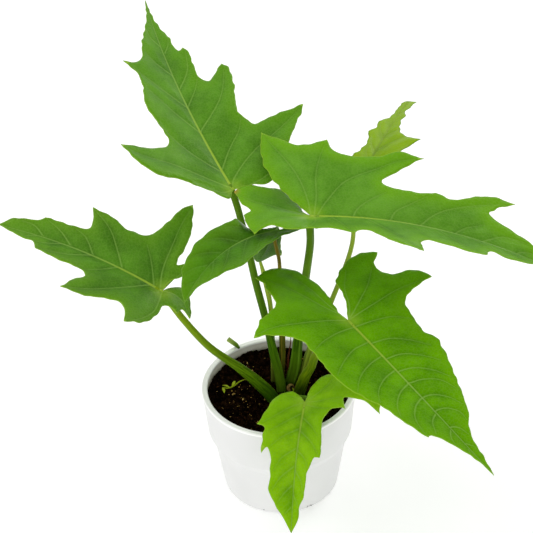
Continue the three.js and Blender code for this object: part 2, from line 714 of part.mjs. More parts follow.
// A plain round hole that a stalk stands in.
function holeSolid({ x, y, radius }) {
  const hole = (radius + HOLE_CLEARANCE) / Math.cos(Math.PI / HOLE_FACETS);
  const cylinder = new THREE.CylinderGeometry(hole, hole, HOLE_CUT, HOLE_FACETS);
  cylinder.rotateX(Math.PI / 2).translate(x, y, HOLE_BOTTOM + HOLE_CUT / 2);
  return toSolid(cylinder);
}

function soilGeometry() {
  let soil = toSolid(soilBody());
  [...Object.values(FEET), CROWN, CATAPHYLL_FOOT].forEach((foot) => {
    soil = soil.subtract(holeSolid(foot));
  });
  return toGeometry(soil);
}

const BUD_FACETS = 14;
const BUD_FOOT = { share: 0.9, height: 4 };
const BUD_SHOULDER = [
  { share: 1, below: 3 },
  { share: 0.85, below: 1.4 },
  { share: 0.5, below: 0.3 },
];

// The short stem base: a round bud on a thick foot.
function crownGeometry() {
  const { x, y, radius, top } = CROWN;
  const profile = [
    [0, STALK_FOOT],
    [radius * BUD_FOOT.share, STALK_FOOT],
    [radius, STALK_FOOT + BUD_FOOT.height],
    ...BUD_SHOULDER.map(({ share, below }) => [radius * share, top - below]),
    [0, top],
  ];
  return turned(profile, BUD_FACETS).translate(x, y, 0);
}

const SPRIG_LIE = 1.6;
const SPRIG_STEM = [[-25.6, 19.9], [-30.4, 17.4], [-35.9, 12.4], [-40, 9.8], [-43.6, 9.6]];
const SPRIG_RADII = [0.4, 0.5, 0.6, 0.6, 0.5];
const LEAFLET_SIZE = [3.6, 1.2, 0.5];
const LEAFLET_LIFT = 0.4;
const LEAFLET_TILT = 14;
const LEAFLETS = [
  { x: -35.4, y: 15, turn: 70 },
  { x: -43.4, y: 6.9, turn: 100 },
  { x: -41.4, y: 11.4, turn: 150 },
];

// A thread-like stem that lies on the soil, with three tiny seed leaves.
function sprigGeometry() {
  const onSoil = (x, y, lift) => new THREE.Vector3(x, y, soilHeight(x, y) + SPRIG_LIE + lift);
  const stem = SPRIG_STEM.map(([x, y]) => onSoil(x, y, 0));
  let sprig = toSolid(rodGeometry(stem, SPRIG_RADII, { pieces: 8, sides: 6 }));
  LEAFLETS.forEach(({ x, y, turn }) => {
    const leaflet = new THREE.SphereGeometry(1, 8, 6).scale(...LEAFLET_SIZE);
    leaflet.rotateX(degToRad(LEAFLET_TILT)).rotateZ(degToRad(turn));
    const place = onSoil(x, y, LEAFLET_LIFT);
    leaflet.translate(place.x, place.y, place.z);
    sprig = sprig.add(toSolid(leaflet));
  });
  return toGeometry(sprig);
}

// Materials

const finish = (color, roughness) => new THREE.MeshStandardMaterial({ color, roughness, metalness: 0 });

const potPlastic = () => finish("#eceded", 0.4);
const pottingMix = () => finish("#2a1d15", 0.95);
const matureBlade = (color) => finish(color, 0.42);
const stalkSkin = (color) => finish(color, 0.5);
const budSkin = () => finish("#8a7440", 0.7);
const dryScale = () => finish("#7a3b20", 0.8);

// The whole plant

const plant = new THREE.Group();

function place(name, geometry, material) {
  const mesh = new THREE.Mesh(geometry, material);
  mesh.name = name;
  plant.add(mesh);
}

const BLADE_COLORS = {
  back_left: "#4b871e",
  right: "#558c2d",
  left: "#46821e",
  front_right: "#5a990a",
  front: "#6eaa14",
  centre: "#3c691c",
  young: "#8caf37",
};
const STALK_COLORS = {
  back_left: "#5c7f2e",
  right: "#5c8430",
  left: "#567f28",
  front_right: "#5f8a2c",
  front: "#6b9a34",
  centre: "#5e5a2a",
  young: "#8ba044",
};

place("pot", potGeometry(), potPlastic());
place("soil", soilGeometry(), pottingMix());
place("crown", crownGeometry(), budSkin());
Object.entries(STALKS).forEach(([name, stalk]) => {
  place(`petiole_${name}`, stalkGeometry(FEET[name], stalk), stalkSkin(STALK_COLORS[name]));
  place(`leaf_${name}`, bladeGeometry(stalk.leaf), matureBlade(BLADE_COLORS[name]));
});
place("shoot", smallRod(SHOOT), stalkSkin("#8f9a3c"));
place("cataphyll", smallRod(CATAPHYLL), dryScale());
place("stalk_end", smallRod(STALK_END), stalkSkin("#6f9440"));
place("sprig", sprigGeometry(), stalkSkin("#a5b43c"));

export default plant;
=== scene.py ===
"""A young philodendron in a white nursery pot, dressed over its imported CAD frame.

Sizes in the classes are millimetres. Meshes are made in metres, +Z up, with the origin at the centre
of the pot's underside and the front of the plant facing -Y.
"""

import logging
import math
import random
from dataclasses import dataclass, field
from enum import Enum

import bmesh
import bpy
import numpy as np
from mathutils import Matrix, Vector, noise
from mathutils.geometry import delaunay_2d_cdt


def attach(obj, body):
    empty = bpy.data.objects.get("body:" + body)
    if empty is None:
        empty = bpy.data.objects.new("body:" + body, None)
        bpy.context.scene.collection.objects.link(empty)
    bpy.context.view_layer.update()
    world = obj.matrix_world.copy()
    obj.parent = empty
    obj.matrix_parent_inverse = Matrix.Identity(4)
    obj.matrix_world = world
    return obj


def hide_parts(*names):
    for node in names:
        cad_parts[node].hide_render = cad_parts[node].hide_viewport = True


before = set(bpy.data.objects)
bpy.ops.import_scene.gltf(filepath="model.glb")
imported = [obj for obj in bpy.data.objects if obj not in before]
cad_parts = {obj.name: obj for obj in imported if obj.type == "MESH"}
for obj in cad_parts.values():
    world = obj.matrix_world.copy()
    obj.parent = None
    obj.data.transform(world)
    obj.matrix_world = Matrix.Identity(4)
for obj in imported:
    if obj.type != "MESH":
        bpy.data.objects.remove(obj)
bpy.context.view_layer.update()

LOG = logging.getLogger("philodendron")
MM = 0.001
UP = np.array([0.0, 0.0, 1.0])
CURVE_STEPS = 24
MERGED_WITHIN = 0.00002
Array = np.ndarray
Place = tuple[float, float]
Point = tuple[float, float, float]
Socket = bpy.types.NodeSocket


# Colours and shader building


def srgb(text: str) -> tuple[float, float, float, float]:
    """Turns a six-digit colour into the linear values that Blender's sockets take.

    Args:
        text: The colour as six hexadecimal digits.

    Returns:
        Red, green, blue and alpha.
    """
    values = [int(text[i : i + 2], 16) / 255 for i in (0, 2, 4)]
    linear = [v / 12.92 if v <= 0.04045 else ((v + 0.055) / 1.055) ** 2.4 for v in values]
    return (*linear, 1.0)


class Shading:
    """Adds nodes to one node tree in few words."""

    def __init__(self, tree: bpy.types.NodeTree) -> None:
        """Takes the tree that the nodes go into."""
        self.tree = tree

    def node(self, kind: str, inputs: dict | None = None, **settings: object) -> bpy.types.Node:
        """Adds one node.

        Args:
            kind: The node's type without its ShaderNode prefix.
            inputs: Values or sockets for its inputs, by name or number.
            settings: The node's own properties.

        Returns:
            The new node.
        """
        made = self.tree.nodes.new("ShaderNode" + kind)
        for name, value in settings.items():
            setattr(made, name, value)
        for name, value in (inputs or {}).items():
            self.feed(made.inputs[name], value)
        return made

    def feed(self, socket: Socket, value: object) -> None:
        """Links a socket to another, or sets its value."""
        if isinstance(value, Socket):
            self.tree.links.new(value, socket)
        else:
            socket.default_value = value

    def math(self, operation: str, a: object, b: object = 0.0, c: object = 0.0) -> Socket:
        """Adds a Math node and returns its result."""
        return self.node("Math", {0: a, 1: b, 2: c}, operation=operation).outputs[0]

    def product(self, a: object, b: object) -> Socket:
        """Multiplies two values."""
        return self.math("MULTIPLY", a, b)

    def mix(self, factor: object, a: object, b: object) -> Socket:
        """Mixes two colours and returns the result."""
        mixer = self.node("Mix", data_type="RGBA")
        self.feed(mixer.inputs["Factor"], factor)
        self.feed(mixer.inputs[6], a)
        self.feed(mixer.inputs[7], b)
        return mixer.outputs[2]

    def span(
        self, value: object, start: float, end: float, low: float = 0.0, high: float = 1.0
    ) -> Socket:
        """Maps a value smoothly from one range to another.

        Args:
            value: The socket that is mapped.
            start: The value that gives `low`.
            end: The value that gives `high`.
            low: The result at `start`.
            high: The result at `end`.

        Returns:
            The mapped value.
        """
        inputs = {0: value, 1: start, 2: end, 3: low, 4: high}
        return self.node("MapRange", inputs, interpolation_type="SMOOTHSTEP").outputs[0]

    def noise(self, vector: object, scale: float, detail: float = 2.0, rough: float = 0.5) -> Socket:
        """Adds a noise texture and returns its value."""
        inputs = {"Vector": vector, "Scale": scale, "Detail": detail, "Roughness": rough}
        return self.node("TexNoise", inputs).outputs[0]

    def attribute(self, name: str) -> Socket:
        """Reads a number that the mesh holds at each point."""
        return self.node("Attribute", attribute_name=name).outputs["Fac"]

    def here(self) -> Socket:
        """Gives the place on the object, in metres."""
        return self.node("TexCoord").outputs["Object"]

    def bump(self, height: object, strength: float, distance: float) -> Socket:
        """Turns a height into a normal; `distance` is the height's unit in metres."""
        inputs = {"Height": height, "Strength": strength, "Distance": distance}
        return self.node("Bump", inputs).outputs[0]


@dataclass
class Effect:
    """A shader node group with named sockets, ready to be filled."""

    tree: bpy.types.NodeTree
    make: Shading
    given: dict[str, Socket]
    result: dict[str, Socket]

    @classmethod
    def start(cls, name: str, inputs: dict[str, str], outputs: dict[str, str]) -> "Effect":
        """Starts a group.

        Args:
            name: The group's name.
            inputs: The input sockets' names and types, "Color" or "Float".
            outputs: The output sockets' names and types.

        Returns:
            The group with its sockets.
        """
        tree = bpy.data.node_groups.new(name, "ShaderNodeTree")
        for way, sockets in (("INPUT", inputs), ("OUTPUT", outputs)):
            for socket, kind in sockets.items():
                tree.interface.new_socket(socket, in_out=way, socket_type="NodeSocket" + kind)
        source = tree.nodes.new("NodeGroupInput")
        sink = tree.nodes.new("NodeGroupOutput")
        return cls(tree, Shading(tree), dict(source.outputs.items()), dict(sink.inputs.items()))


BLADE_COLORS = ("Deep", "Bright", "Margin", "Vein", "Rib", "Dry")
BLADE_AMOUNTS = ("Vein Strength", "Rough", "Tip Depth")
STALK_COLORS = ("Deep", "Bright", "Top", "Foot")


def blade_effect() -> bpy.types.NodeTree:
    """Builds the pattern of a leaf blade: mottled green, fine veins, a pale rim, a relief, and painted shade
    beside the veins and the midrib.

    Returns:
        The node group, with a colour, a roughness and a height.
    """
    inputs = {**dict.fromkeys(BLADE_COLORS, "Color"), **dict.fromkeys(BLADE_AMOUNTS, "Float")}
    outputs = {"Color": "Color", "Roughness": "Float", "Height": "Float"}
    group = Effect.start("blade pattern", inputs, outputs)
    make, given = group.make, group.given
    place = make.here()
    rim, run, joint = make.attribute("rim"), make.attribute("run"), make.attribute("joint")
    vein = make.attribute("vein")
    # Painted shade: the blade is drawn darker beside each vein and lighter between the veins, in place of the
    # shading of its quilted relief.
    between = make.product(make.span(vein, 1.0, 9.0), 0.2)
    patches = make.math("ADD", make.span(make.noise(place, 34, 5, 0.65), 0.3, 0.7, 0.15, 0.75), between)
    tipwards = make.product(make.span(run, 0.35, 0.9), given["Tip Depth"])
    patches = make.math("SUBTRACT", patches, tipwards)
    color = make.mix(patches, given["Deep"], given["Bright"])
    ragged = make.math("MULTIPLY_ADD", make.noise(place, 55, 2), 12.0, -6.0)
    outer = make.span(make.math("ADD", rim, ragged), 0.0, 15.0, 0.8, 0.0)
    color = make.mix(outer, color, given["Margin"])
    cells = make.node("TexVoronoi", {"Vector": place, "Scale": 430.0}, feature="DISTANCE_TO_EDGE")
    net = make.span(cells.outputs["Distance"], 0.02, 0.16, 0.09, 0.0)
    color = make.mix(net, color, given["Vein"])
    side = make.product(make.span(vein, 0.5, 1.5, 1.0, 0.0), make.attribute("fade"))
    color = make.mix(make.product(side, given["Vein Strength"]), color, given["Vein"])
    halo = make.span(joint, 1.0, 13.0, 0.4, 0.0)
    color = make.mix(halo, color, given["Rib"])
    rib_color = make.mix(make.span(run, 0.1, 0.6), given["Rib"], given["Vein"])
    ribbed = make.span(make.attribute("rib"), 0.65, 1.15, 1.0, 0.0)
    rib = make.product(ribbed, make.span(run, 0.0, 0.8, 0.9, 0.45))
    color = make.mix(rib, color, rib_color)
    edge = make.span(rim, 0.15, 0.7, 0.5, 0.0)
    color = make.mix(edge, color, given["Rib"])
    color = make.mix(make.attribute("dry"), color, given["Dry"])
    fine = make.noise(place, 480, 4, 0.7)
    # Painted shade: the colour is darkened in a band beside each vein and beside the midrib, where the sunk
    # veins would lie in shade.
    vein_shade = make.span(vein, 1.5, 5.0, 0.95, 1.0)
    rib_shade = make.span(make.attribute("rib"), 1.15, 3.0, 0.88, 1.0)
    value = make.product(make.math("MULTIPLY_ADD", fine, 0.2, 0.93), make.product(vein_shade, rib_shade))
    dots = make.node("HueSaturation", {"Value": value, "Color": color})
    make.feed(group.result["Color"], dots.outputs[0])
    uneven = make.span(make.noise(place, 70, 3), 0.3, 0.7, -0.1, 0.1)
    make.feed(group.result["Roughness"], make.math("ADD", given["Rough"], uneven))
    make.feed(group.result["Height"], make.math("ADD", make.product(fine, 0.4), make.product(net, 4.0)))
    return group.tree


def stalk_effect() -> bpy.types.NodeTree:
    """Builds the pattern of a stalk: long streaks, pale sheath edges, a paler top, and a foot colour at the
    bottom, which on the dark-footed stalks is painted shade among the stalk bases.

    Returns:
        The node group, with a colour and a height.
    """
    inputs = dict.fromkeys(STALK_COLORS, "Color")
    group = Effect.start("stalk pattern", inputs, {"Color": "Color", "Height": "Float"})
    make, given = group.make, group.given
    run, turn = make.attribute("run"), make.attribute("turn")
    ways = {"X": make.product(turn, 2.6), "Y": make.product(run, 1.6)}
    streak = make.noise(make.node("CombineXYZ", ways).outputs[0], 5.0, 4, 0.6)
    color = make.mix(make.span(streak, 0.35, 0.66), given["Deep"], given["Bright"])
    color = make.mix(make.span(run, 0.2, 0.9, 0.0, 0.75), color, given["Top"])
    # The foot colour near the stalk's bottom; where it is dark, it is painted shade among the crowded stalk
    # bases.
    color = make.mix(make.span(run, 0.08, 0.3, 0.8, 0.0), color, given["Foot"])
    off_edge = make.math("ABSOLUTE", make.math("SUBTRACT", turn, 0.78))
    wing = make.product(make.span(off_edge, 0.01, 0.08, 0.7, 0.0), make.span(run, 0.2, 0.6, 1.0, 0.35))
    color = make.mix(wing, color, given["Top"])
    flecks = make.span(make.noise(make.here(), 420, 2), 0.66, 0.74, 0.0, 0.3)
    color = make.mix(flecks, color, given["Top"])
    make.feed(group.result["Color"], color)
    make.feed(group.result["Height"], make.product(streak, 0.7))
    return group.tree


MADE_EFFECTS: dict[str, bpy.types.NodeTree] = {}


def shared_effect(name: str) -> bpy.types.NodeTree:
    """Gives the "blade" or "stalk" node group, made the first time it is asked for."""
    if name not in MADE_EFFECTS:
        MADE_EFFECTS[name] = blade_effect() if name == "blade" else stalk_effect()
    return MADE_EFFECTS[name]


# Finishes


class Finish:
    """A finish that can be put on a piece. Each kind says how its nodes are laid."""

    name: str

    def lay(self, make: Shading, surface: bpy.types.Node) -> None:
        """Feeds the surface's sockets."""
        raise NotImplementedError

    def material(self) -> bpy.types.Material:
        """Gives the finish as a material, made the first time it is asked for."""
        title = self.name + "_finish"
        known = bpy.data.materials.get(title)
        if known:
            return known
        made = bpy.data.materials.new(title)
        made.use_nodes = True
        self.lay(Shading(made.node_tree), made.node_tree.nodes["Principled BSDF"])
        return made


@dataclass(frozen=True)
class BladeSkin(Finish):
    """The waxy skin of a leaf blade."""

    name: str
    deep: str
    bright: str
    margin: str
    vein: str = "92bc58"
    rib: str = "9fbf3e"
    dry: str = "c08a4e"
    vein_strength: float = 0.3
    rough: float = 0.38
    sheen: float = 0.3
    tint: str = "d0ff40"
    glow: float = 0.06
    tip_depth: float = 0.0

    def lay(self, make: Shading, surface: bpy.types.Node) -> None:
        """Feeds the surface from the blade pattern."""
        pattern = make.node("Group", node_tree=shared_effect("blade"))
        colors = (self.deep, self.bright, self.margin, self.vein, self.rib, self.dry)
        for socket, color in zip(BLADE_COLORS, colors):
            pattern.inputs[socket].default_value = srgb(color)
        for socket, amount in zip(BLADE_AMOUNTS, (self.vein_strength, self.rough, self.tip_depth)):
            pattern.inputs[socket].default_value = amount
        make.feed(surface.inputs["Base Color"], pattern.outputs["Color"])
        make.feed(surface.inputs["Roughness"], pattern.outputs["Roughness"])
        make.feed(surface.inputs["Normal"], make.bump(pattern.outputs["Height"], 0.5, 0.0004))
        surface.inputs["Subsurface Weight"].default_value = self.glow
        surface.inputs["Subsurface Radius"].default_value = (0.4, 1.0, 0.1)
        surface.inputs["Subsurface Scale"].default_value = MM
        surface.inputs["Specular IOR Level"].default_value = self.sheen
        surface.inputs["Specular Tint"].default_value = srgb(self.tint)


@dataclass(frozen=True)
class StalkSkin(Finish):
    """The skin of a leaf stalk."""

    name: str
    deep: str
    bright: str
    top: str
    foot: str
    rough: float = 0.42
    tint: str = "e0ff50"
    sheen: float = 0.12

    def lay(self, make: Shading, surface: bpy.types.Node) -> None:
        """Feeds the surface from the stalk pattern."""
        pattern = make.node("Group", node_tree=shared_effect("stalk"))
        for socket, color in zip(STALK_COLORS, (self.deep, self.bright, self.top, self.foot)):
            pattern.inputs[socket].default_value = srgb(color)
        make.feed(surface.inputs["Base Color"], pattern.outputs["Color"])
        make.feed(surface.inputs["Normal"], make.bump(pattern.outputs["Height"], 0.4, 0.0005))
        surface.inputs["Roughness"].default_value = self.rough
        surface.inputs["Specular IOR Level"].default_value = self.sheen
        surface.inputs["Specular Tint"].default_value = srgb(self.tint)


@dataclass(frozen=True)
class PotPlastic(Finish):
    """White moulded plastic with soil dust inside, scuffs round the foot, and painted light on the rim's top.
    """

    name: str = "white_pot_plastic"
    color: str = "e6e6e5"
    shade: str = "d9dad8"
    dust: str = "b4aa90"
    scuff: str = "3f3b37"
    inner: str = "f6f2e6"
    # The rim's top is painted a brighter white from this height up: painted light.
    lip: str = "fcfcfa"
    lit_rim_from: float = 91.8
    inner_radius: float = 57.9
    film: float = 0.12
    dust_line: float = 83.3
    dust_from: float = 76.0

    def lay(self, make: Shading, surface: bpy.types.Node) -> None:
        """Feeds the surface: plain white, dust at the soil line, scuffs at the foot, painted light on the
        rim's top.
        """
        place = make.here()
        height = make.node("SeparateXYZ", {0: place}).outputs["Z"]
        level = make.node("Mapping", {"Vector": place, "Scale": (1, 1, 0)}).outputs[0]
        across = make.node("VectorMath", {0: level}, operation="LENGTH").outputs["Value"]
        inside = make.span(across, self.inner_radius * MM, (self.inner_radius + 0.4) * MM, 1.0, 0.0)
        inner = make.product(inside, make.span(height, self.dust_from * MM, (self.dust_from + 1) * MM))
        ragged = make.math("MULTIPLY_ADD", make.noise(place, 180, 4, 0.7), 0.007, (self.dust_line - 3.5) * MM)
        low = make.span(make.math("SUBTRACT", height, ragged), 0.0, 0.005, 0.85, self.film)
        color = make.mix(inner, srgb(self.color), srgb(self.inner))
        color = make.mix(make.product(inner, low), color, srgb(self.dust))
        marks = make.span(make.noise(place, 150, 3, 0.6), 0.63, 0.68)
        foot = make.span(height, 0.001, 0.006, 0.85, 0.0)
        color = make.mix(make.product(marks, foot), color, srgb(self.scuff))
        cloud = make.span(make.noise(place, 24, 2), 0.3, 0.7, 0.0, 0.35)
        color = make.mix(cloud, color, srgb(self.shade))
        # Painted light: the top of the rim is mixed towards a brighter white.
        lip = make.span(height, self.lit_rim_from * MM, (self.lit_rim_from + 0.3) * MM)
        color = make.mix(lip, color, srgb(self.lip))
        make.feed(surface.inputs["Base Color"], color)
        make.feed(surface.inputs["Roughness"], make.span(make.noise(place, 60, 3), 0.3, 0.7, 0.34, 0.46))
        make.feed(surface.inputs["Normal"], make.bump(make.noise(place, 900, 2), 0.05, 0.0002))
        surface.inputs["Specular IOR Level"].default_value = 0.35


@dataclass(frozen=True)
class SoilSkin(Finish):
    """Moist dark potting mix or one of its grains."""

    name: str
    dark: str
    light: str
    rough: float = 0.9
    scale: float = 260.0
    sheen: float = 0.0

    def lay(self, make: Shading, surface: bpy.types.Node) -> None:
        """Feeds the surface: two browns in crumbs, with a coarse relief."""
        place = make.here()
        crumbs = make.noise(place, self.scale, 6, 0.75)
        color = make.mix(make.span(crumbs, 0.45, 0.66), srgb(self.dark), srgb(self.light))
        make.feed(surface.inputs["Base Color"], color)
        make.feed(surface.inputs["Roughness"], make.span(crumbs, 0.3, 0.7, self.rough - 0.2, self.rough))
        relief = make.noise(place, self.scale * 2.4, 6, 0.8)
        make.feed(surface.inputs["Normal"], make.bump(relief, 0.9, 0.0012))
        surface.inputs["Specular IOR Level"].default_value = self.sheen


@dataclass(frozen=True)
class BudScale(Finish):
    """The tan, scaly skin of the bud, with painted shade darkening its hollow."""

    name: str = "bud_scale"
    dark: str = "6b4f26"
    light: str = "a88c50"
    hollow: str = "150d07"

    def lay(self, make: Shading, surface: bpy.types.Node) -> None:
        """Feeds the surface: tan flecks, with painted shade where the mesh is hollowed."""
        place = make.here()
        flecks = make.span(make.noise(place, 420, 4, 0.7), 0.4, 0.62)
        color = make.mix(flecks, srgb(self.dark), srgb(self.light))
        # Painted shade: the hollow is mixed towards a near-black brown by how deep each point lies in it.
        color = make.mix(make.attribute("hollow"), color, srgb(self.hollow))
        make.feed(surface.inputs["Base Color"], color)
        make.feed(surface.inputs["Normal"], make.bump(make.noise(place, 700, 3), 0.6, 0.0006))
        surface.inputs["Roughness"].default_value = 0.8
        surface.inputs["Specular IOR Level"].default_value = 0.15


@dataclass(frozen=True)
class StudioFloor(Finish):
    """The plain white floor, lit faintly from below."""

    name: str = "studio_floor"
    white: tuple[float, float, float, float] = (0.96, 0.96, 0.96, 1.0)
    glow: float = 0.19

    def lay(self, make: Shading, surface: bpy.types.Node) -> None:
        """Sets a plain matt white."""
        surface.inputs["Base Color"].default_value = self.white
        surface.inputs["Roughness"].default_value = 0.9
        surface.inputs["Specular IOR Level"].default_value = 0.0
        surface.inputs["Emission Color"].default_value = self.white
        surface.inputs["Emission Strength"].default_value = self.glow


# Mesh building


def deselect_all() -> None:
    """Leaves object mode with nothing selected."""
    if bpy.context.object and bpy.context.object.mode != "OBJECT":
        bpy.ops.object.mode_set(mode="OBJECT")
    bpy.ops.object.select_all(action="DESELECT")


def mesh_piece(
    name: str, points: Array, faces: list, finishes: list[Finish], slots: list[int] | None = None
) -> bpy.types.Object:
    """Makes an object from points in millimetres.

    Args:
        name: The piece's name.
        points: Its points, one row each.
        faces: Lists of point numbers.
        finishes: One finish for each material slot.
        slots: The material slot of each face.

    Returns:
        The object, at the origin.
    """
    mesh = bpy.data.meshes.new(name)
    mesh.from_pydata((points * MM).tolist(), [], faces)
    for finish in finishes:
        mesh.materials.append(finish.material())
    if slots is not None:
        mesh.polygons.foreach_set("material_index", np.asarray(slots, np.int32))
    mesh.polygons.foreach_set("use_smooth", np.ones(len(mesh.polygons), bool))
    mesh.update()
    made = bpy.data.objects.new(name, mesh)
    bpy.context.scene.collection.objects.link(made)
    return made


def store(piece: bpy.types.Object, name: str, values: Array) -> None:
    """Keeps one number at each point of a piece, for its material to read."""
    held = piece.data.attributes.new(name, "FLOAT", "POINT")
    held.data.foreach_set("value", np.asarray(values, np.float32))


def smoothed(piece: bpy.types.Object, finish: Finish) -> None:
    """Gives a piece one finish and smooth shading."""
    piece.data.materials.clear()
    piece.data.materials.append(finish.material())
    piece.data.polygons.foreach_set("use_smooth", np.ones(len(piece.data.polygons), bool))


def joined(pieces: list[bpy.types.Object]) -> bpy.types.Object:
    """Joins pieces into the first of them and returns it."""
    deselect_all()
    for piece in pieces:
        piece.select_set(True)
    bpy.context.view_layer.objects.active = pieces[0]
    bpy.ops.object.join()
    return pieces[0]


def settle(piece: bpy.types.Object, node: str) -> bpy.types.Object:
    """Says which CAD node a finished piece stands for.

    Args:
        piece: The finished piece.
        node: The CAD node that it replaces.

    Returns:
        The piece.
    """
    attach(piece, "root")
    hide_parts(node)
    LOG.info("%s: %d points, %d faces", piece.name, len(piece.data.vertices), len(piece.data.polygons))
    return piece


def bell(distance: Array, reach: float | Array) -> Array:
    """Gives 1 at a distance of 0, falling smoothly towards 0 beyond the reach."""
    return np.exp(-((distance / reach) ** 2))


def hermite(t: Array, start: Array, leave: Array, end: Array, arrive: Array) -> Array:
    """Runs a smooth curve from one place to another.

    Args:
        t: Shares of the way, as a column.
        start: Where the curve starts.
        leave: The way in which it leaves.
        end: Where it ends.
        arrive: The way in which it arrives.

    Returns:
        The places, one row for each share.
    """
    first = (2 * t**3 - 3 * t**2 + 1) * start + (t**3 - 2 * t**2 + t) * leave
    return first + (3 * t**2 - 2 * t**3) * end + (t**3 - t**2) * arrive


def smooth_path(stops: Array, count: int) -> Array:
    """Runs a centripetal curve through stops and spaces places evenly on it.

    Args:
        stops: The places that the curve runs through.
        count: How many places to give.

    Returns:
        The places, one row each.
    """
    stops = np.asarray(stops, float)
    ends = np.vstack([2 * stops[0] - stops[1], stops, 2 * stops[-1] - stops[-2]])
    dense = []
    for p0, p1, p2, p3 in zip(ends, ends[1:], ends[2:], ends[3:]):
        d0, d1, d2 = (math.sqrt(np.linalg.norm(b - a)) for a, b in ((p0, p1), (p1, p2), (p2, p3)))
        leave = ((p1 - p0) / d0 - (p2 - p0) / (d0 + d1) + (p2 - p1) / d1) * d1
        arrive = ((p2 - p1) / d1 - (p3 - p1) / (d1 + d2) + (p3 - p2) / d2) * d1
        t = np.linspace(0, 1, CURVE_STEPS, endpoint=False)[:, None]
        dense.append(hermite(t, p1, leave, p2, arrive))
    dense = np.vstack([*dense, stops[-1:]])
    run = np.concatenate([[0], np.cumsum(np.linalg.norm(np.diff(dense, axis=0), axis=1))])
    wanted = np.linspace(0, run[-1], count)
    return np.stack([np.interp(wanted, run, dense[:, k]) for k in range(dense.shape[1])], 1)


# Leaf blades


@dataclass(frozen=True)
class Stop:
    """A place on a blade's margin, along the midrib and out from it."""

    along: float
    out: float
    sharp: bool = False


def tooth(along: float, out: float) -> Stop:
    """Gives the sharp tip of a lobe."""
    return Stop(along, out, True)


def edge(along: float, out: float) -> Stop:
    """Gives a smooth place on the margin."""
    return Stop(along, out)


class Side(Enum):
    """The two halves of a blade, seen from above with the tip ahead."""

    LEFT = -1
    RIGHT = 1


@dataclass(frozen=True)
class HalfBlade:
    """One half of a blade: its margin from the joint to the tip, and its main veins."""

    fold: float
    margin: tuple[Stop, ...]
    veins: tuple[tuple[Place, ...], ...]
    dry: tuple[Place, ...] = ()


@dataclass(frozen=True)
class BladeForm:
    """How a blade is bent, and how finely it is modelled, for every leaf."""

    thickness: float = 0.8
    frame_step: float = 2.0
    frame_behind: float = 120.0
    frame_beyond: float = 18.0
    lobe_sag: float = 0.1
    wave_height: float = 1.0
    wave_reach: float = 40.0
    wave_limit: float = 1.2
    wave_stretch: float = 11.0
    wave_side_shift: float = 0.9
    valley: float = 1.6
    margin_spacing: float = 1.7
    margin_ripple: float = 1.3
    ripple_calm: float = 3.0
    ripple_growth: float = 8.0
    ripple_scale: float = 0.15
    ripple_starts: Place = (0.0, 31.7)
    station_step: float = 2.0
    inner_spacing: float = 2.5
    inner_clear: float = 0.8
    inner_gap: float = 1.35
    flank_clear: float = 0.55
    flank_gap: float = 0.62
    vein_steps: int = 26
    vein_spacing: float = 2.2
    vein_clearance: float = 1.1
    joint_reach: float = 20.0
    joint_clearance: float = 0.45
    veinlet_spacing: float = 7.5
    veinlet_root: float = 1.6
    veinlets_most: int = 5
    groove_side: float = 0.8
    calm_reach: float = 3.0
    quilt_reach: float = 5.5
    quilt_level: float = 0.4
    cell_height: float = 0.08
    cell_reach: float = 1.8
    groove: float = 0.2
    groove_reach: float = 0.7
    rib_groove: float = 0.3
    rib_groove_share: float = 0.7
    rib_groove_least: float = 0.2
    rib: float = 0.5
    rib_reach: float = 0.8
    midrib: float = 1.5
    rib_taper: float = 0.8
    rib_round: float = 0.3
    vein_root_half: float = 0.6
    vein_thinning: float = 0.3
    vein_fade: float = 0.6
    rib_half_share: float = 0.7
    rib_half_least: float = 0.3
    edge_least: float = 0.55
    edge_gain: float = 0.45
    edge_reach: float = 1.5
    dry_reach: float = 2.6


FORM = BladeForm()


def margin_points(stops: tuple[Stop, ...], length: float) -> Array:
    """Runs the margin through its stops, smooth at edges and sharp at teeth.

    Args:
        stops: The margin's stops.
        length: The blade's length.

    Returns:
        Places as rows of along and out, from the joint to just before the tip.
    """
    stops = (tooth(0, 0), *stops, tooth(length, 0))
    at = np.array([(s.along, s.out) for s in stops])
    places = []
    for i in range(len(stops) - 1):
        chord = at[i + 1] - at[i]
        limit = np.linalg.norm(chord)
        leave = chord if stops[i].sharp else (at[i + 1] - at[i - 1]) / 2
        arrive = chord if stops[i + 1].sharp else (at[i + 2] - at[i]) / 2
        leave, arrive = (v * min(1.0, limit / max(np.linalg.norm(v), 1e-9)) for v in (leave, arrive))
        count = max(2, round(limit / FORM.margin_spacing))
        t = np.arange(count)[:, None] / count
        places.append(hermite(t, at[i], leave, at[i + 1], arrive))
    return rippled(np.vstack(places), length)


def rippled(margin: Array, length: float) -> Array:
    """Makes a margin slightly uneven, except at the joint and at the tip.

    Args:
        margin: The margin's places.
        length: The blade's length.

    Returns:
        The uneven margin.
    """
    ends = np.array([(0.0, 0.0), (length, 0.0)])
    away = np.linalg.norm(margin[:, None] - ends, axis=2).min(1)
    share = np.clip((away - FORM.ripple_calm) / FORM.ripple_growth, 0, 1)[:, None]
    scaled = margin * FORM.ripple_scale
    shifts = [[noise.noise(Vector((a + k, b, length))) for k in FORM.ripple_starts] for a, b in scaled]
    return margin + FORM.margin_ripple * share * np.array(shifts)


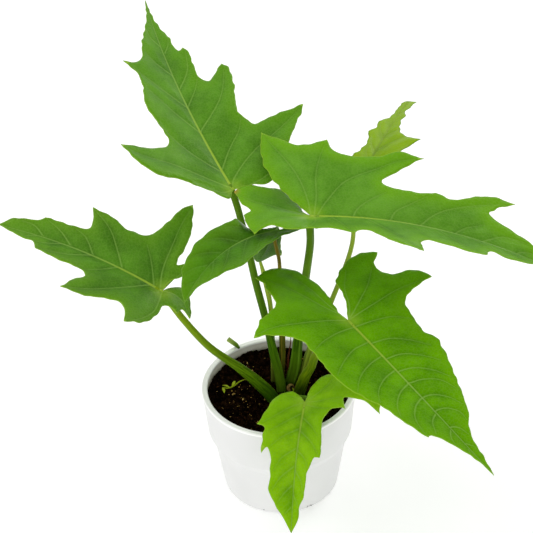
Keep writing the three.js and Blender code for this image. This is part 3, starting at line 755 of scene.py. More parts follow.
def inside(points: Array, outline: Array) -> Array:
    """Says which points lie inside a closed outline.

    Args:
        points: The points, as rows.
        outline: The outline's corners, as rows.

    Returns:
        One truth value for each point.
    """
    a, b = outline, np.roll(outline, -1, axis=0)
    x, y = points[:, :1], points[:, 1:]
    rise = np.where(b[:, 1] == a[:, 1], 1e-12, b[:, 1] - a[:, 1])
    crosses = ((a[:, 1] > y) != (b[:, 1] > y)) & (x < (b[:, 0] - a[:, 0]) * (y - a[:, 1]) / rise + a[:, 0])
    return crosses.sum(1) % 2 == 1


def nearest_on(points: Array, path: Array) -> tuple[Array, Array]:
    """Finds where an open path comes nearest to each point.

    Args:
        points: The points, as rows.
        path: The path's places, as rows.

    Returns:
        Each point's distance to the path, and the share of the path before that place.
    """
    a, step = path[:-1], np.diff(path, axis=0)
    span = np.maximum((step**2).sum(1), 1e-12)
    t = np.clip(((points[:, None] - a) * step).sum(2) / span, 0, 1)
    nearest = a + t[..., None] * step
    apart = np.sqrt(((points[:, None] - nearest) ** 2).sum(2))
    piece = apart.argmin(1)
    row = np.arange(len(points))
    return apart[row, piece], (piece + t[row, piece]) / len(a)


def distance_to(points: Array, path: Array) -> Array:
    """Gives each point's distance to an open path."""
    return nearest_on(points, path)[0]


def thinned(points: Array, others: Array, gap: float) -> Array:
    """Drops the points that lie closer than a gap to others or to one another.

    Args:
        points: The points to thin.
        others: Points that stay.
        gap: The least distance.

    Returns:
        The points that are left.
    """
    kept = list(others)
    cells: dict[tuple[int, int], list[int]] = {}
    for i, (x, y) in enumerate(kept):
        cells.setdefault((int(x // gap), int(y // gap)), []).append(i)
    fresh = []
    for point in points:
        cx, cy = int(point[0] // gap), int(point[1] // gap)
        near = [j for dx in (-1, 0, 1) for dy in (-1, 0, 1) for j in cells.get((cx + dx, cy + dy), ())]
        if all((kept[j][0] - point[0]) ** 2 + (kept[j][1] - point[1]) ** 2 >= gap * gap for j in near):
            cells.setdefault((cx, cy), []).append(len(kept))
            kept.append(point)
            fresh.append(point)
    return np.array(fresh).reshape(-1, 2)


def free_points(points: Array, outline: Array, clear: float, others: Array, gap: float) -> Array:
    """Keeps the points that lie well inside an outline and well apart.

    Args:
        points: The points to sift.
        outline: The outline's corners, as rows.
        clear: The least distance to the outline.
        others: Points that stay.
        gap: The least distance to them and to one another.

    Returns:
        The points that are left.
    """
    points = points[inside(points, outline)]
    points = points[distance_to(points, np.vstack([outline, outline[:1]])) > clear]
    return thinned(points, others, gap)


def staggered(low: Array, high: Array, spacing: float) -> Array:
    """Fills a rectangle with points in offset rows.

    Args:
        low: The rectangle's least corner.
        high: Its greatest corner.
        spacing: The distance between points.

    Returns:
        The points, as rows.
    """
    columns = np.arange(low[0], high[0], spacing)
    rows = np.arange(low[1], high[1], spacing * math.sin(math.pi / 3))
    x, y = np.meshgrid(columns, rows)
    x[1::2] += spacing / 2
    return np.stack([x.ravel(), y.ravel()], 1)


@dataclass
class FlatHalf:
    """One half of a blade laid flat: its places and triangles, and the lines that they follow."""

    places: Array
    triangles: list[list[int]]
    veins: list[Array]
    veinlets: list[Array]
    margin: Array


@dataclass
class Sheet:
    """A whole blade as a sheet, with what its relief and its colours are made from."""

    points: Array
    faces: Array
    marks: dict[str, Array]


@dataclass
class Leaf:
    """A leaf blade with its two halves, bent along its midrib."""

    name: str
    joint: Point
    heading: float
    rise: float
    length: float
    left: HalfBlade
    right: HalfBlade
    skin: BladeSkin
    under: BladeSkin
    slot: str
    turn: float = 0.0
    arch: float = 0.0
    roll: float = 0.0
    wave_phase: float = 0.0
    lobe_droop: tuple[float, float] = (0.0, 0.0)
    lobe_droop_limit: float = 0.0
    droop_start: float = 0.0
    droop_reach: float = 0.0
    rib_width: float = 1.5
    quilt: float = 0.6
    frames: dict[str, Array] = field(default_factory=dict)

    def __post_init__(self) -> None:
        """Works out the midrib's row of frames."""
        reach = FORM.frame_behind + self.length + FORM.frame_beyond
        along = np.arange(math.ceil(reach / FORM.frame_step) + 1) * FORM.frame_step - FORM.frame_behind
        ahead = np.maximum(along, 0)
        heading = np.radians(self.heading + self.turn * ahead)
        pitch = np.radians(self.rise - self.arch * ahead - FORM.lobe_sag * np.minimum(along, 0))
        level = np.stack([np.cos(heading), np.sin(heading), 0 * along], 1)
        tangent = level * np.cos(pitch)[:, None] + UP * np.sin(pitch)[:, None]
        across = np.cross(level, UP)
        lift = np.cross(across, tangent)
        roll = math.radians(self.roll)
        steps = (tangent[1:] + tangent[:-1]) * FORM.frame_step / 2
        place = np.vstack([np.zeros(3), np.cumsum(steps, axis=0)])
        place += np.array(self.joint) - place[int(FORM.frame_behind / FORM.frame_step)]
        self.frames = {
            "along": along,
            "place": place,
            "right": across * math.cos(roll) + lift * math.sin(roll),
            "normal": lift * math.cos(roll) - across * math.sin(roll),
        }

    def frame_at(self, key: str, along: Array) -> Array:
        """Gives the midrib's place, right or normal at each distance along it."""
        rows = self.frames[key]
        return np.stack([np.interp(along, self.frames["along"], rows[:, k]) for k in range(3)], 1)

    def under_midrib(self, along: float, drop: float) -> Array:
        """Gives the point `drop` below the midrib, where the stalk runs."""
        at = np.array([along])
        return (self.frame_at("place", at) - self.frame_at("normal", at) * drop)[0]

    def surface(self, along: Array, out: Array, side: Side) -> Array:
        """Lays flat places of one half onto the bent blade.

        Args:
            along: Distances along the midrib.
            out: Distances out from it.
            side: Which half they lie on.

        Returns:
            The points in space.
        """
        droop = self.lobe_droop[0 if side is Side.LEFT else 1] * np.maximum(self.droop_start - along, 0)
        droop = np.minimum(droop, self.lobe_droop_limit)
        if self.droop_reach:
            share = np.clip(out / self.droop_reach, 0, 1)
            droop = droop * share**2 * (3 - 2 * share)
        fold = np.radians(self.half(side).fold - droop)
        reach = np.minimum(np.maximum(out, 0) / FORM.wave_reach, FORM.wave_limit)
        phase = self.wave_phase + FORM.wave_side_shift * side.value
        swing = np.sin(along / FORM.wave_stretch + phase)
        rounded = np.sign(out) * (np.sqrt(out**2 + FORM.valley**2) - FORM.valley)
        lift = rounded * np.sin(fold) + FORM.wave_height * reach**2 * swing
        sideways = side.value * out * np.cos(fold)
        return (
            self.frame_at("place", along)
            + self.frame_at("right", along) * sideways[:, None]
            + self.frame_at("normal", along) * lift[:, None]
        )

    def half(self, side: Side) -> HalfBlade:
        """Gives one half of the blade."""
        return self.left if side is Side.LEFT else self.right

    def stations(self) -> Array:
        """Gives the distances along the midrib that both halves share."""
        return np.linspace(0, self.length, round(self.length / FORM.station_step) + 1)

    def trimmed(self, path: Array, outline: Array, margin: Array) -> Array:
        """Ends a vein before the margin and spaces its places evenly.

        Args:
            path: The vein's places; the first is moved to the nearest station of the midrib.
            outline: The half's closed outline.
            margin: Its free margin.

        Returns:
            The vein's places, or none when it is too short.
        """
        stations = self.stations()
        path[0] = (stations[np.argmin(abs(stations - path[0][0]))], 0.0)
        near = np.linalg.norm(path, axis=1) < FORM.joint_reach
        clearance = np.where(near, FORM.joint_clearance, FORM.vein_clearance)
        clear = inside(path, outline) & (distance_to(path, margin) > clearance)
        clear[0] = True
        path, clear = path[clear | ~near], clear[clear | ~near]
        stop = len(path) if clear.all() else int(np.argmin(clear))
        if stop < 3:
            return path[:0]
        length = np.linalg.norm(np.diff(path[:stop], axis=0), axis=1).sum()
        return smooth_path(path[:stop], max(2, round(length / FORM.vein_spacing)) + 1)

    def vein_lines(self, side: Side, outline: Array, margin: Array) -> tuple[list[Array], list[Array]]:
        """Runs the main veins and the finer ones between them.

        Args:
            side: Which half they lie on.
            outline: The half's closed outline.
            margin: Its free margin.

        Returns:
            The main veins and the veinlets, as places in rows, kept inside the margin.
        """
        mains = [smooth_path(np.array(path, float), FORM.vein_steps) for path in self.half(side).veins]
        fine = []
        for one, two in zip(mains, mains[1:]):
            root = np.linalg.norm(one[0] - two[0]) * FORM.veinlet_root
            apart = max(np.linalg.norm(one - two, axis=1).max(), root)
            pieces = int(np.clip(round(apart / FORM.veinlet_spacing), 1, FORM.veinlets_most))
            fine += [one + (two - one) * k / pieces for k in range(1, pieces)]
        lines = [[self.trimmed(path, outline, margin) for path in group] for group in (mains, fine)]
        main, fine = ([path for path in group if len(path)] for group in lines)
        return main, fine

    def flat_half(self, side: Side) -> FlatHalf:
        """Divides one half into small triangles that follow its veins.

        Args:
            side: Which half to divide.

        Returns:
            The divided half.
        """
        stations = self.stations()
        margin = margin_points(self.half(side).margin, self.length)
        rib = np.stack([stations, 0 * stations], 1)
        outline = np.vstack([margin, rib[:0:-1]])
        main, fine = self.vein_lines(side, outline, np.vstack([margin, rib[-1:]]))
        fixed = [outline]
        joins = [(i, (i + 1) % len(outline)) for i in range(len(outline))]
        flanks = [rib + [0, FORM.groove_side], rib + [0, 2 * FORM.groove_side]]
        count = len(outline)
        for path in main + fine:
            body = path[1:]
            station = int(np.argmin(abs(stations - path[0][0])))
            start = 0 if station == 0 else len(outline) - station
            numbers = [start, *range(count, count + len(body))]
            joins += list(zip(numbers, numbers[1:]))
            fixed.append(body)
            count += len(body)
            step = np.gradient(path, axis=0)
            normal = np.stack([-step[:, 1], step[:, 0]], 1) / np.linalg.norm(step, axis=1)[:, None]
            flanks += [path + normal * FORM.groove_side * k for k in (-1, 1)]
        held = np.vstack(fixed)
        beside = free_points(np.vstack(flanks), outline, FORM.flank_clear, held, FORM.flank_gap)
        held = np.vstack([held, beside])
        inner = staggered(outline.min(0), outline.max(0), FORM.inner_spacing)
        inner = free_points(inner, outline, FORM.inner_clear, held, FORM.inner_gap)
        every = [Vector(p) for p in np.vstack([held, inner])]
        made = delaunay_2d_cdt(every, joins, [list(range(len(outline)))], 1, 1e-5)
        places = np.array([tuple(v) for v in made[0]])
        return FlatHalf(places, [list(f) for f in made[2]], main, fine, np.vstack([margin, rib[-1:]]))

    def measured(self, half: FlatHalf, dry: tuple[Place, ...]) -> dict[str, Array]:
        """Measures a flat half against its veins, margin and midrib.

        Args:
            half: The flat half.
            dry: Places where the blade has dried.

        Returns:
            For each place: distances in millimetres, and shares from 0 to 1.
        """
        along, out = half.places.T
        share = np.clip(along / self.length, 0, 1)
        rows = [nearest_on(half.places, path) for path in half.veins]
        apart, shares = (np.array(values) for values in zip(*rows))
        nearest = apart.argmin(0)
        row = np.arange(len(along))
        fine = [distance_to(half.places, path) for path in half.veinlets]
        gone = [np.exp(-(((along - a) ** 2 + (out - b) ** 2) / FORM.dry_reach**2)) for a, b in dry]
        rib = np.hypot(np.minimum(along, 0), out)
        return {
            "vein": apart[nearest, row],
            "vein_share": shares[nearest, row],
            "veinlet": np.min(fine, axis=0) if fine else apart[nearest, row] + 9,
            "rim": distance_to(half.places, half.margin),
            "rib": rib,
            "rib_half": self.rib_width * (1 - FORM.rib_taper * share),
            "share": share,
            "joint": np.hypot(along, out),
            "dry": np.max(gone, axis=0) if gone else 0 * along,
        }

    def sheet(self) -> Sheet:
        """Joins the two halves along the midrib.

        Returns:
            The bent sheet.
        """
        points, faces, numbers = [], [], {}
        marks: dict[str, list[float]] = {}
        for side in Side:
            half = self.flat_half(side)
            bent = self.surface(half.places[:, 0], half.places[:, 1], side)
            measures = self.measured(half, self.half(side).dry)
            index = []
            for i, (along, out) in enumerate(half.places):
                key = round(along, 3) if abs(out) < 1e-6 and along > -1e-6 else None
                if key in numbers:
                    index.append(numbers[key])
                    continue
                if key is not None:
                    numbers[key] = len(points)
                index.append(len(points))
                points.append(bent[i])
                for name, values in measures.items():
                    marks.setdefault(name, []).append(values[i])
            for a, b, c in half.triangles:
                ahead = half.places[b] - half.places[a]
                aside = half.places[c] - half.places[a]
                left_turn = ahead[0] * aside[1] - ahead[1] * aside[0] > 0
                face = [index[a], index[b], index[c]] if left_turn else [index[a], index[c], index[b]]
                faces.append(face if side is Side.LEFT else face[::-1])
        return Sheet(np.array(points), np.array(faces), {k: np.array(v) for k, v in marks.items()})

    def relief(self, sheet: Sheet) -> tuple[Array, Array]:
        """Works out how far the upper and the lower face lie from the sheet.

        Args:
            sheet: The blade's sheet.

        Returns:
            The two heights at each point, in millimetres.
        """
        vein, rib, rim = (sheet.marks[name] for name in ("vein", "rib", "rim"))
        half = sheet.marks["rib_half"]
        calm = np.clip(rim / FORM.calm_reach, 0, 1)
        quilt = self.quilt * calm * (FORM.quilt_level - bell(np.minimum(vein, rib), FORM.quilt_reach))
        quilt += FORM.cell_height * calm * (1 - bell(sheet.marks["veinlet"], FORM.cell_reach))
        groove = FORM.groove * calm * bell(vein, FORM.groove_reach)
        groove += FORM.rib_groove * bell(rib, FORM.rib_groove_share * half + FORM.rib_groove_least)
        beneath = FORM.rib * calm * bell(vein, FORM.rib_reach)
        round_rib = np.sqrt(np.clip(1 - (rib / (half + FORM.rib_round)) ** 2, 0, 1))
        keel = FORM.midrib * (1 - FORM.rib_taper * sheet.marks["share"]) * round_rib
        inwards = np.clip(rim / FORM.edge_reach, 0, 1)
        edge_half = FORM.thickness / 2 * (FORM.edge_least + FORM.edge_gain * inwards)
        return quilt + edge_half - groove, quilt - edge_half - beneath - keel

    def build(self) -> bpy.types.Object:
        """Builds the whole blade as one closed piece with sunk veins above and ribs below.

        Returns:
            The finished blade.
        """
        sheet = self.sheet()
        corner = sheet.points[sheet.faces]
        flat = np.cross(corner[:, 1] - corner[:, 0], corner[:, 2] - corner[:, 0])
        normal = np.zeros_like(sheet.points)
        for k in range(3):
            np.add.at(normal, sheet.faces[:, k], flat)
        normal /= np.linalg.norm(normal, axis=1)[:, None]
        upper, lower = self.relief(sheet)
        points = np.vstack([sheet.points + normal * upper[:, None], sheet.points + normal * lower[:, None]])
        count = len(sheet.points)
        above = sheet.faces.tolist()
        directed = {(face[i], face[(i + 1) % 3]) for face in above for i in range(3)}
        walls = [[b, a, a + count, b + count] for a, b in directed if (b, a) not in directed]
        below = [[a + count, c + count, b + count] for a, b, c in above]
        slots = [0] * len(above) + [1] * len(below) + [0] * len(walls)
        sides = above + below + walls
        piece = mesh_piece(self.name + "_blade", points, sides, [self.skin, self.under], slots)
        marks = sheet.marks
        vein_half = FORM.vein_root_half - FORM.vein_thinning * marks["vein_share"]
        rib_half = np.maximum(FORM.rib_half_share * marks["rib_half"], FORM.rib_half_least)
        store(piece, "vein", np.tile(marks["vein"] / vein_half, 2))
        store(piece, "fade", np.tile(1 - FORM.vein_fade * marks["vein_share"], 2))
        store(piece, "rib", np.tile(marks["rib"] / rib_half, 2))
        for name, source in (("rim", "rim"), ("run", "share"), ("joint", "joint"), ("dry", "dry")):
            store(piece, name, np.tile(marks[source], 2))
        return settle(piece, self.name)


# Stalks and other slender pieces


@dataclass(frozen=True)
class RodForm:
    """Where a rod's channel, its raised edges and its sheath lie, and how wide they are."""

    channel_top: float = 0.3
    channel_fade: float = 0.45
    channel_reach: float = 0.4
    edge_at: float = 0.72
    edge_reach: float = 0.24
    edge_height: float = 0.4
    sheath_at: float = 0.13
    sheath_reach: float = 0.08
    wobble_step: float = 0.9


ROD = RodForm()


@dataclass
class Rod:
    """A slender piece along a smooth path, ridged lengthways and closed at both ends.

    Its channel is a groove between two raised edges, on the side that it faces.
    """

    path: Array
    radii: tuple[float, ...]
    rings: int = 90
    sides: int = 32
    flat: float = 1.0
    ridge: float = 0.02
    ridges: int = 7
    wobble: float = 0.0
    channel: float = 0.0
    sheath: float = 0.0
    facing: Point = (0.3, 1.0, 0.1)

    def section(self, share: float, ring: int, angle: Array) -> tuple[Array, float]:
        """Gives the section's outline at one ring.

        Args:
            share: How far along the rod the ring is.
            ring: The ring's number.
            angle: The angles round it, from the side that it faces.

        Returns:
            The radius at each angle as a share of the full one, and how much it is widened.
        """
        turned = (angle + np.pi) % (2 * np.pi) - np.pi
        lasting = math.exp(-((share / ROD.channel_fade) ** 4))
        depth = self.channel * (ROD.channel_top + (1 - ROD.channel_top) * lasting)
        shape = 1 + self.ridge * np.cos(self.ridges * angle)
        shape += self.wobble * math.sin(ring * ROD.wobble_step) * np.cos(angle)
        shape -= depth * bell(turned, ROD.channel_reach)
        shape += ROD.edge_height * depth * bell(np.abs(turned) - ROD.edge_at, ROD.edge_reach)
        widened = 1 + self.sheath * math.exp(-(((share - ROD.sheath_at) / ROD.sheath_reach) ** 2))
        return shape, widened

    def shape(self) -> tuple[Array, list[list[int]], Array, Array]:
        """Works out the rod's surface.

        Returns:
            Its points, its faces, and for each point how far along and round it is.
        """
        centre = smooth_path(self.path, self.rings + 1)
        t = np.linspace(0, 1, self.rings + 1)
        radius = np.interp(t, np.linspace(0, 1, len(self.radii)), self.radii)
        radius[2:-2] = np.convolve(radius, np.array([1, 2, 3, 2, 1]) / 9, "valid")
        tangent = np.gradient(centre, axis=0)
        tangent /= np.linalg.norm(tangent, axis=1)[:, None]
        across = np.array(self.facing, float)
        points, runs, turns = [], [], []
        angle = 2 * np.pi * np.arange(self.sides) / self.sides
        for i, (place, ahead) in enumerate(zip(centre, tangent)):
            across = across - ahead * across.dot(ahead)
            across /= np.linalg.norm(across)
            other = np.cross(ahead, across)
            outline, widened = self.section(t[i], i, angle)
            ring = radius[i] * outline
            sideways = np.outer(ring * self.flat * widened * np.sin(angle), other)
            points.append(place + np.outer(ring * np.cos(angle), across) + sideways)
            runs.append(np.full(self.sides, t[i]))
            turns.append(np.abs(angle / np.pi - 1))
        faces = []
        for i in range(self.rings):
            for k in range(self.sides):
                a, b = i * self.sides + k, i * self.sides + (k + 1) % self.sides
                faces.append([a, b, b + self.sides, a + self.sides])
        last = self.rings * self.sides
        faces.append(list(range(self.sides))[::-1])
        faces.append([last + k for k in range(self.sides)])
        return np.vstack(points), faces, np.concatenate(runs), np.concatenate(turns)

    def build(self, name: str, finish: Finish) -> bpy.types.Object:
        """Makes the rod as a piece.

        Args:
            name: The piece's name.
            finish: Its finish.

        Returns:
            The piece.
        """
        points, faces, run, turn = self.shape()
        piece = mesh_piece(name, points, faces, [finish])
        store(piece, "run", run)
        store(piece, "turn", turn)
        return piece


@dataclass(frozen=True)
class Foot:
    """Where a stalk stands in the soil, and how thick it is there."""

    x: float
    y: float
    radius: float


@dataclass
class Stalk:
    """A leaf stalk from the soil to its blade."""

    leaf: Leaf
    foot: Foot
    end: float
    skin: StalkSkin
    slot: str
    via: tuple[Point, ...]
    approach: Place = (-10.0, 5.0)
    reach: float = 6.0
    below: float = 0.0
    full: float = 0.0
    sheath: float = 0.12
    bottom: float = 73.0
    soil: float = 84.0
    gap: float = 0.3
    axis: Place = (7.0, 7.0)
    low_share: float = 0.95
    taper: float = 0.72
    high_share: float = 1.08
    slope: float = 0.5
    channel: float = 0.22

    def build(self) -> bpy.types.Object:
        """Builds the stalk, its channel towards the plant's middle, its top grown into the midrib.

        Returns:
            The finished stalk.
        """
        drop = FORM.thickness / 2 + self.gap + self.end + self.below
        path = [
            (self.foot.x, self.foot.y, self.bottom),
            (self.foot.x, self.foot.y, self.soil),
            *self.via,
            self.leaf.under_midrib(self.approach[0], drop + self.approach[1]),
            self.leaf.under_midrib(-1, drop + self.slope),
            self.leaf.under_midrib(self.reach, drop - self.slope),
        ]
        middle = self.foot.radius + (self.end - self.foot.radius) * self.taper
        body = (self.foot.radius * self.low_share, middle, self.end * self.high_share)
        body = (self.full,) * 3 if self.full else body
        radii = (self.foot.radius, *body, self.end, self.end)
        facing = (self.axis[0] - self.foot.x, self.axis[1] - self.foot.y, 0.0)
        stops = np.array([tuple(p) for p in path])
        rod = Rod(stops, radii, channel=self.channel, sheath=self.sheath, facing=facing)
        piece = rod.build(self.leaf.name + "_stalk", self.skin)
        return settle(piece, self.leaf.name.replace("leaf", "petiole"))


# Pot


@dataclass
class Pot:
    """The tapered pot with its deep rim band, turned from one wall profile."""

    height: float = 94.0
    rim_radius: float = 60.0
    wall: float = 2.3
    band_foot_radius: float = 56.8
    band_foot_height: float = 56.0
    step_radius: float = 52.8
    step_height: float = 48.0
    base_radius: float = 45.8
    foot_flat: float = 6.0
    foot_slant: float = 1.0
    floor: float = 3.0
    lip: float = 0.7
    lip_width: float = 4.4
    lip_depth: float = 1.9
    lip_foot: Place = (0.1, 0.9)
    bead: float = 2.8
    bead_depth: float = 0.15
    bead_foot: Place = (0.2, 0.4)
    facets: int = 144
    rounding: float = 0.45
    rounding_steps: int = 3
    rounded_from: float = 9.0

    def profile(self) -> list[Place]:
        """Gives the wall from the middle of the underside to the middle of the inside."""
        under_bead = self.height - self.bead
        return [
            (0, 0),
            (self.base_radius - self.foot_flat, 0),
            (self.base_radius - self.foot_slant, 0),
            (self.base_radius, self.foot_slant),
            (self.step_radius, self.step_height),
            (self.band_foot_radius, self.band_foot_height),
            (self.rim_radius - self.bead_depth - self.bead_foot[0], under_bead - self.bead_foot[1]),
            (self.rim_radius - self.bead_depth, under_bead),
            (self.rim_radius, self.height - self.lip),
            (self.rim_radius - self.lip, self.height),
            (self.rim_radius - self.lip_width + self.lip, self.height),
            (self.rim_radius - self.lip_width, self.height - self.lip),
            (self.rim_radius - self.lip_width, self.height - self.lip_depth),
            (self.rim_radius - self.wall - self.lip_foot[0], self.height - self.lip_depth - self.lip_foot[1]),
            (self.band_foot_radius - self.wall, self.band_foot_height),
            (self.step_radius - self.wall, self.step_height),
            (self.base_radius - self.wall, self.floor),
            (0, self.floor),
        ]

    def build(self) -> bpy.types.Object:
        """Turns the profile about the pot's axis and rounds its edges.

        Returns:
            The finished pot.
        """
        deselect_all()
        bpy.ops.mesh.primitive_plane_add(size=0.01)
        pot = bpy.context.object
        pot.name = pot.data.name = "nursery_pot"
        bpy.ops.object.mode_set(mode="EDIT")
        drawn = bmesh.from_edit_mesh(pot.data)
        bmesh.ops.delete(drawn, geom=drawn.verts[:], context="VERTS")
        corners = [drawn.verts.new((r * MM, 0, z * MM)) for r, z in self.profile()]
        for a, b in zip(corners, corners[1:]):
            drawn.edges.new((a, b)).select_set(True)
        bmesh.update_edit_mesh(pot.data)
        bpy.ops.mesh.spin(steps=self.facets, angle=2 * math.pi, center=(0, 0, 0), axis=(0, 0, 1))
        bpy.ops.mesh.select_all(action="SELECT")
        bpy.ops.mesh.remove_doubles(threshold=MERGED_WITHIN)
        bpy.ops.mesh.normals_make_consistent(inside=False)
        bpy.ops.object.mode_set(mode="OBJECT")
        rounding = pot.modifiers.new("rounded edges", "BEVEL")
        rounding.width, rounding.segments = self.rounding * MM, self.rounding_steps
        rounding.limit_method, rounding.angle_limit = "ANGLE", math.radians(self.rounded_from)
        bpy.ops.object.modifier_apply(modifier=rounding.name)
        smoothed(pot, PotPlastic())
        evened = pot.modifiers.new("even shading", "WEIGHTED_NORMAL")
        evened.mode, evened.weight = "FACE_AREA", 100
        bpy.ops.object.modifier_apply(modifier=evened.name)
        return settle(pot, "pot")


# Soil


@dataclass(frozen=True)
class Grains:
    """One kind of grain on the soil: how many are tried, their sizes, and where most of them lie."""

    name: str
    tries: int
    sizes: Place
    finish: Finish
    seed: int
    middle: Place = (0.0, 0.0)
    spread: Place = (1000.0, 1000.0)
    elsewhere: float = 0.0

    def chance(self, x: float, y: float) -> float:
        """Gives the chance that a grain lies at a place."""
        away = ((x - self.middle[0]) / self.spread[0]) ** 2 + ((y - self.middle[1]) / self.spread[1]) ** 2
        return self.elsewhere + (1 - self.elsewhere) * math.exp(-away)


MIX = SoilSkin("potting_mix", "0a0502", "301e10")
BARK = SoilSkin("bark_crumb", "120904", "54331a", 0.85, 420)
GRAIN = SoilSkin("perlite_grain", "a07830", "e8c878", 0.7, 600, 0.2)

GRAINS = (
    Grains("soil_crumbs", 2600, (0.35, 1.9), MIX, 11),
    Grains("bark_crumbs", 900, (0.3, 1.2), BARK, 12, elsewhere=0.75),
    Grains("perlite_grains", 1100, (0.3, 1.2), GRAIN, 13, (-29.0, -2.0), (11.0, 20.0), 0.07),
)


@dataclass(frozen=True)
class Crumble:
    """One layer of the soil's roughness: its height and the noise that it is made from."""

    height: float
    scale: float
    level: float
    falloff: float
    gap: float
    octaves: int

    def at(self, x: float, y: float) -> float:
        """Gives the layer's height at a place."""
        place = Vector((x * self.scale, y * self.scale, self.level))
        return self.height * noise.fractal(place, self.falloff, self.gap, self.octaves)


CLODS = Crumble(1.2, 0.32, 3.0, 0.7, 2.1, 5)
PITS = Crumble(0.6, 0.9, 9.0, 0.6, 2.0, 3)


@dataclass
class Soil:
    """The potting mix: a crumbly surface, loose crumbs and pale grains."""

    level: float = 82.0
    dip: float = 0.6
    crown: Place = (9.2, 4.4)
    mound: Place = (1.6, 26.0)
    top_radius: float = 56.2
    facets: int = 120
    edge_drop: float = 0.8
    bank: float = 4.7
    bank_from: float = 0.5
    bank_lean: float = 0.35
    edge_from: float = 0.97
    edge_width: float = 0.03
    lump_swell: float = 0.5
    lump_grain: float = 1.5
    lump_apart: float = 7.1
    lump_kinds: int = 5
    mostly_small: float = 2.2
    wall_gap: float = 0.6
    proud: float = 0.3
    walls: tuple[Place, ...] = ((54.0, 56.0), (50.1, 47.8), (43.1, 3.3))

    def surface(self, x: float, y: float) -> float:
        """Gives the height of the soil's surface, before its crumbs."""
        distance = math.hypot(x - self.crown[0], y - self.crown[1])
        mound = self.mound[0] * math.exp(-((distance / self.mound[1]) ** 2))
        lumps = 0.7 * math.sin(x / 5.1 + 1.3) * math.cos(y / 4.3) + 0.5 * math.sin(y / 3.1 + x / 7.7)
        reach = math.hypot(x, y) / self.top_radius
        rear = max(0.0, y - self.bank_lean * x) / self.top_radius
        banked = self.bank * rear * max(0.0, reach - self.bank_from) / (1 - self.bank_from)
        return self.level - self.dip + mound + lumps + banked

    def height(self, x: float, y: float) -> float:
        """Gives the height of the soil's surface with its fine crumbs."""
        return self.surface(x, y) + CLODS.at(x, y) + PITS.at(x, y)

    def bed(self) -> bpy.types.Object:
        """Builds the soil's body from a round grid pulled down along the pot's inner wall.

        Returns:
            The body.
        """
        deselect_all()
        bpy.ops.mesh.primitive_grid_add(x_subdivisions=self.facets, y_subdivisions=self.facets, size=2)
        bed = bpy.context.object
        bed.name = bed.data.name = "potting_soil"
        for v in bed.data.vertices:
            x, y = v.co.x, v.co.y
            disc = (x * math.sqrt(1 - y * y / 2), y * math.sqrt(1 - x * x / 2))
            px, py = disc[0] * self.top_radius, disc[1] * self.top_radius
            rim = max(0.0, math.hypot(*disc) - self.edge_from) / self.edge_width
            v.co = Vector((px, py, self.height(px, py) - self.edge_drop * rim)) * MM
        bpy.ops.object.mode_set(mode="EDIT")
        bpy.ops.mesh.select_all(action="SELECT")
        bpy.ops.mesh.region_to_loop()
        for radius, height in self.walls:
            bpy.ops.mesh.extrude_region_move()
            shaped = bmesh.from_edit_mesh(bed.data)
            for v in (v for v in shaped.verts if v.select):
                away = Vector((v.co.x, v.co.y, 0)).normalized() * radius
                v.co = Vector((away.x, away.y, height)) * MM
            bmesh.update_edit_mesh(bed.data)
        bpy.ops.mesh.fill()
        bpy.ops.mesh.select_all(action="SELECT")
        bpy.ops.mesh.normals_make_consistent(inside=False)
        bpy.ops.object.mode_set(mode="OBJECT")
        smoothed(bed, MIX)
        return bed

    def lump(self, seed: int) -> tuple[Array, list[list[int]]]:
        """Models one crumb from a small ball.

        Args:
            seed: Changes its shape.

        Returns:
            Its points and faces.
        """
        deselect_all()
        bpy.ops.mesh.primitive_ico_sphere_add(subdivisions=1, radius=1)
        ball = bpy.context.object
        points = np.array([v.co[:] for v in ball.data.vertices])
        shift = Vector((seed * self.lump_apart, 0, 0))
        bumps = [noise.noise(Vector(p) * self.lump_grain + shift) for p in points]
        swell = [1 + self.lump_swell * bump for bump in bumps]
        shape = points * np.array(swell)[:, None], [list(p.vertices) for p in ball.data.polygons]
        bpy.data.objects.remove(ball, do_unlink=True)
        return shape

    def scatter(self, grains: Grains) -> bpy.types.Object:
        """Strews one kind of grain over the soil as one piece.

        Args:
            grains: The kind of grain.

        Returns:
            The grains.
        """
        dice = random.Random(grains.seed)
        shapes = [self.lump(k + grains.seed) for k in range(self.lump_kinds)]
        points, faces, start = [], [], 0
        for _ in range(grains.tries):
            reach = self.top_radius * math.sqrt(dice.random())
            angle = dice.uniform(0, 2 * math.pi)
            x, y = reach * math.cos(angle), reach * math.sin(angle)
            small, large = grains.sizes
            size = small + (large - small) * dice.random() ** self.mostly_small
            axis = (dice.random(), dice.random(), dice.random() + 0.1)
            turn = Matrix.Rotation(dice.uniform(0, 2 * math.pi), 3, axis)
            stretch = [dice.uniform(0.7, 1.5), dice.uniform(0.5, 1.1), dice.uniform(0.5, 0.9)]
            shape, sides = dice.choice(shapes)
            if dice.random() > grains.chance(x, y) or reach > self.top_radius - size - self.wall_gap:
                continue
            body = (shape * stretch * size) @ np.array(turn)
            points.append(body + [x, y, self.height(x, y) + size * self.proud])
            faces += [[v + start for v in side] for side in sides]
            start += len(shape)
        return mesh_piece(grains.name, np.vstack(points), faces, [grains.finish])

    def build(self) -> list[bpy.types.Object]:
        """Builds the soil and what lies in it.

        Returns:
            The pieces.
        """
        pieces = [self.bed(), *(self.scatter(grains) for grains in GRAINS)]
        return [settle(piece, "soil") for piece in pieces]


# The leaves' own measures


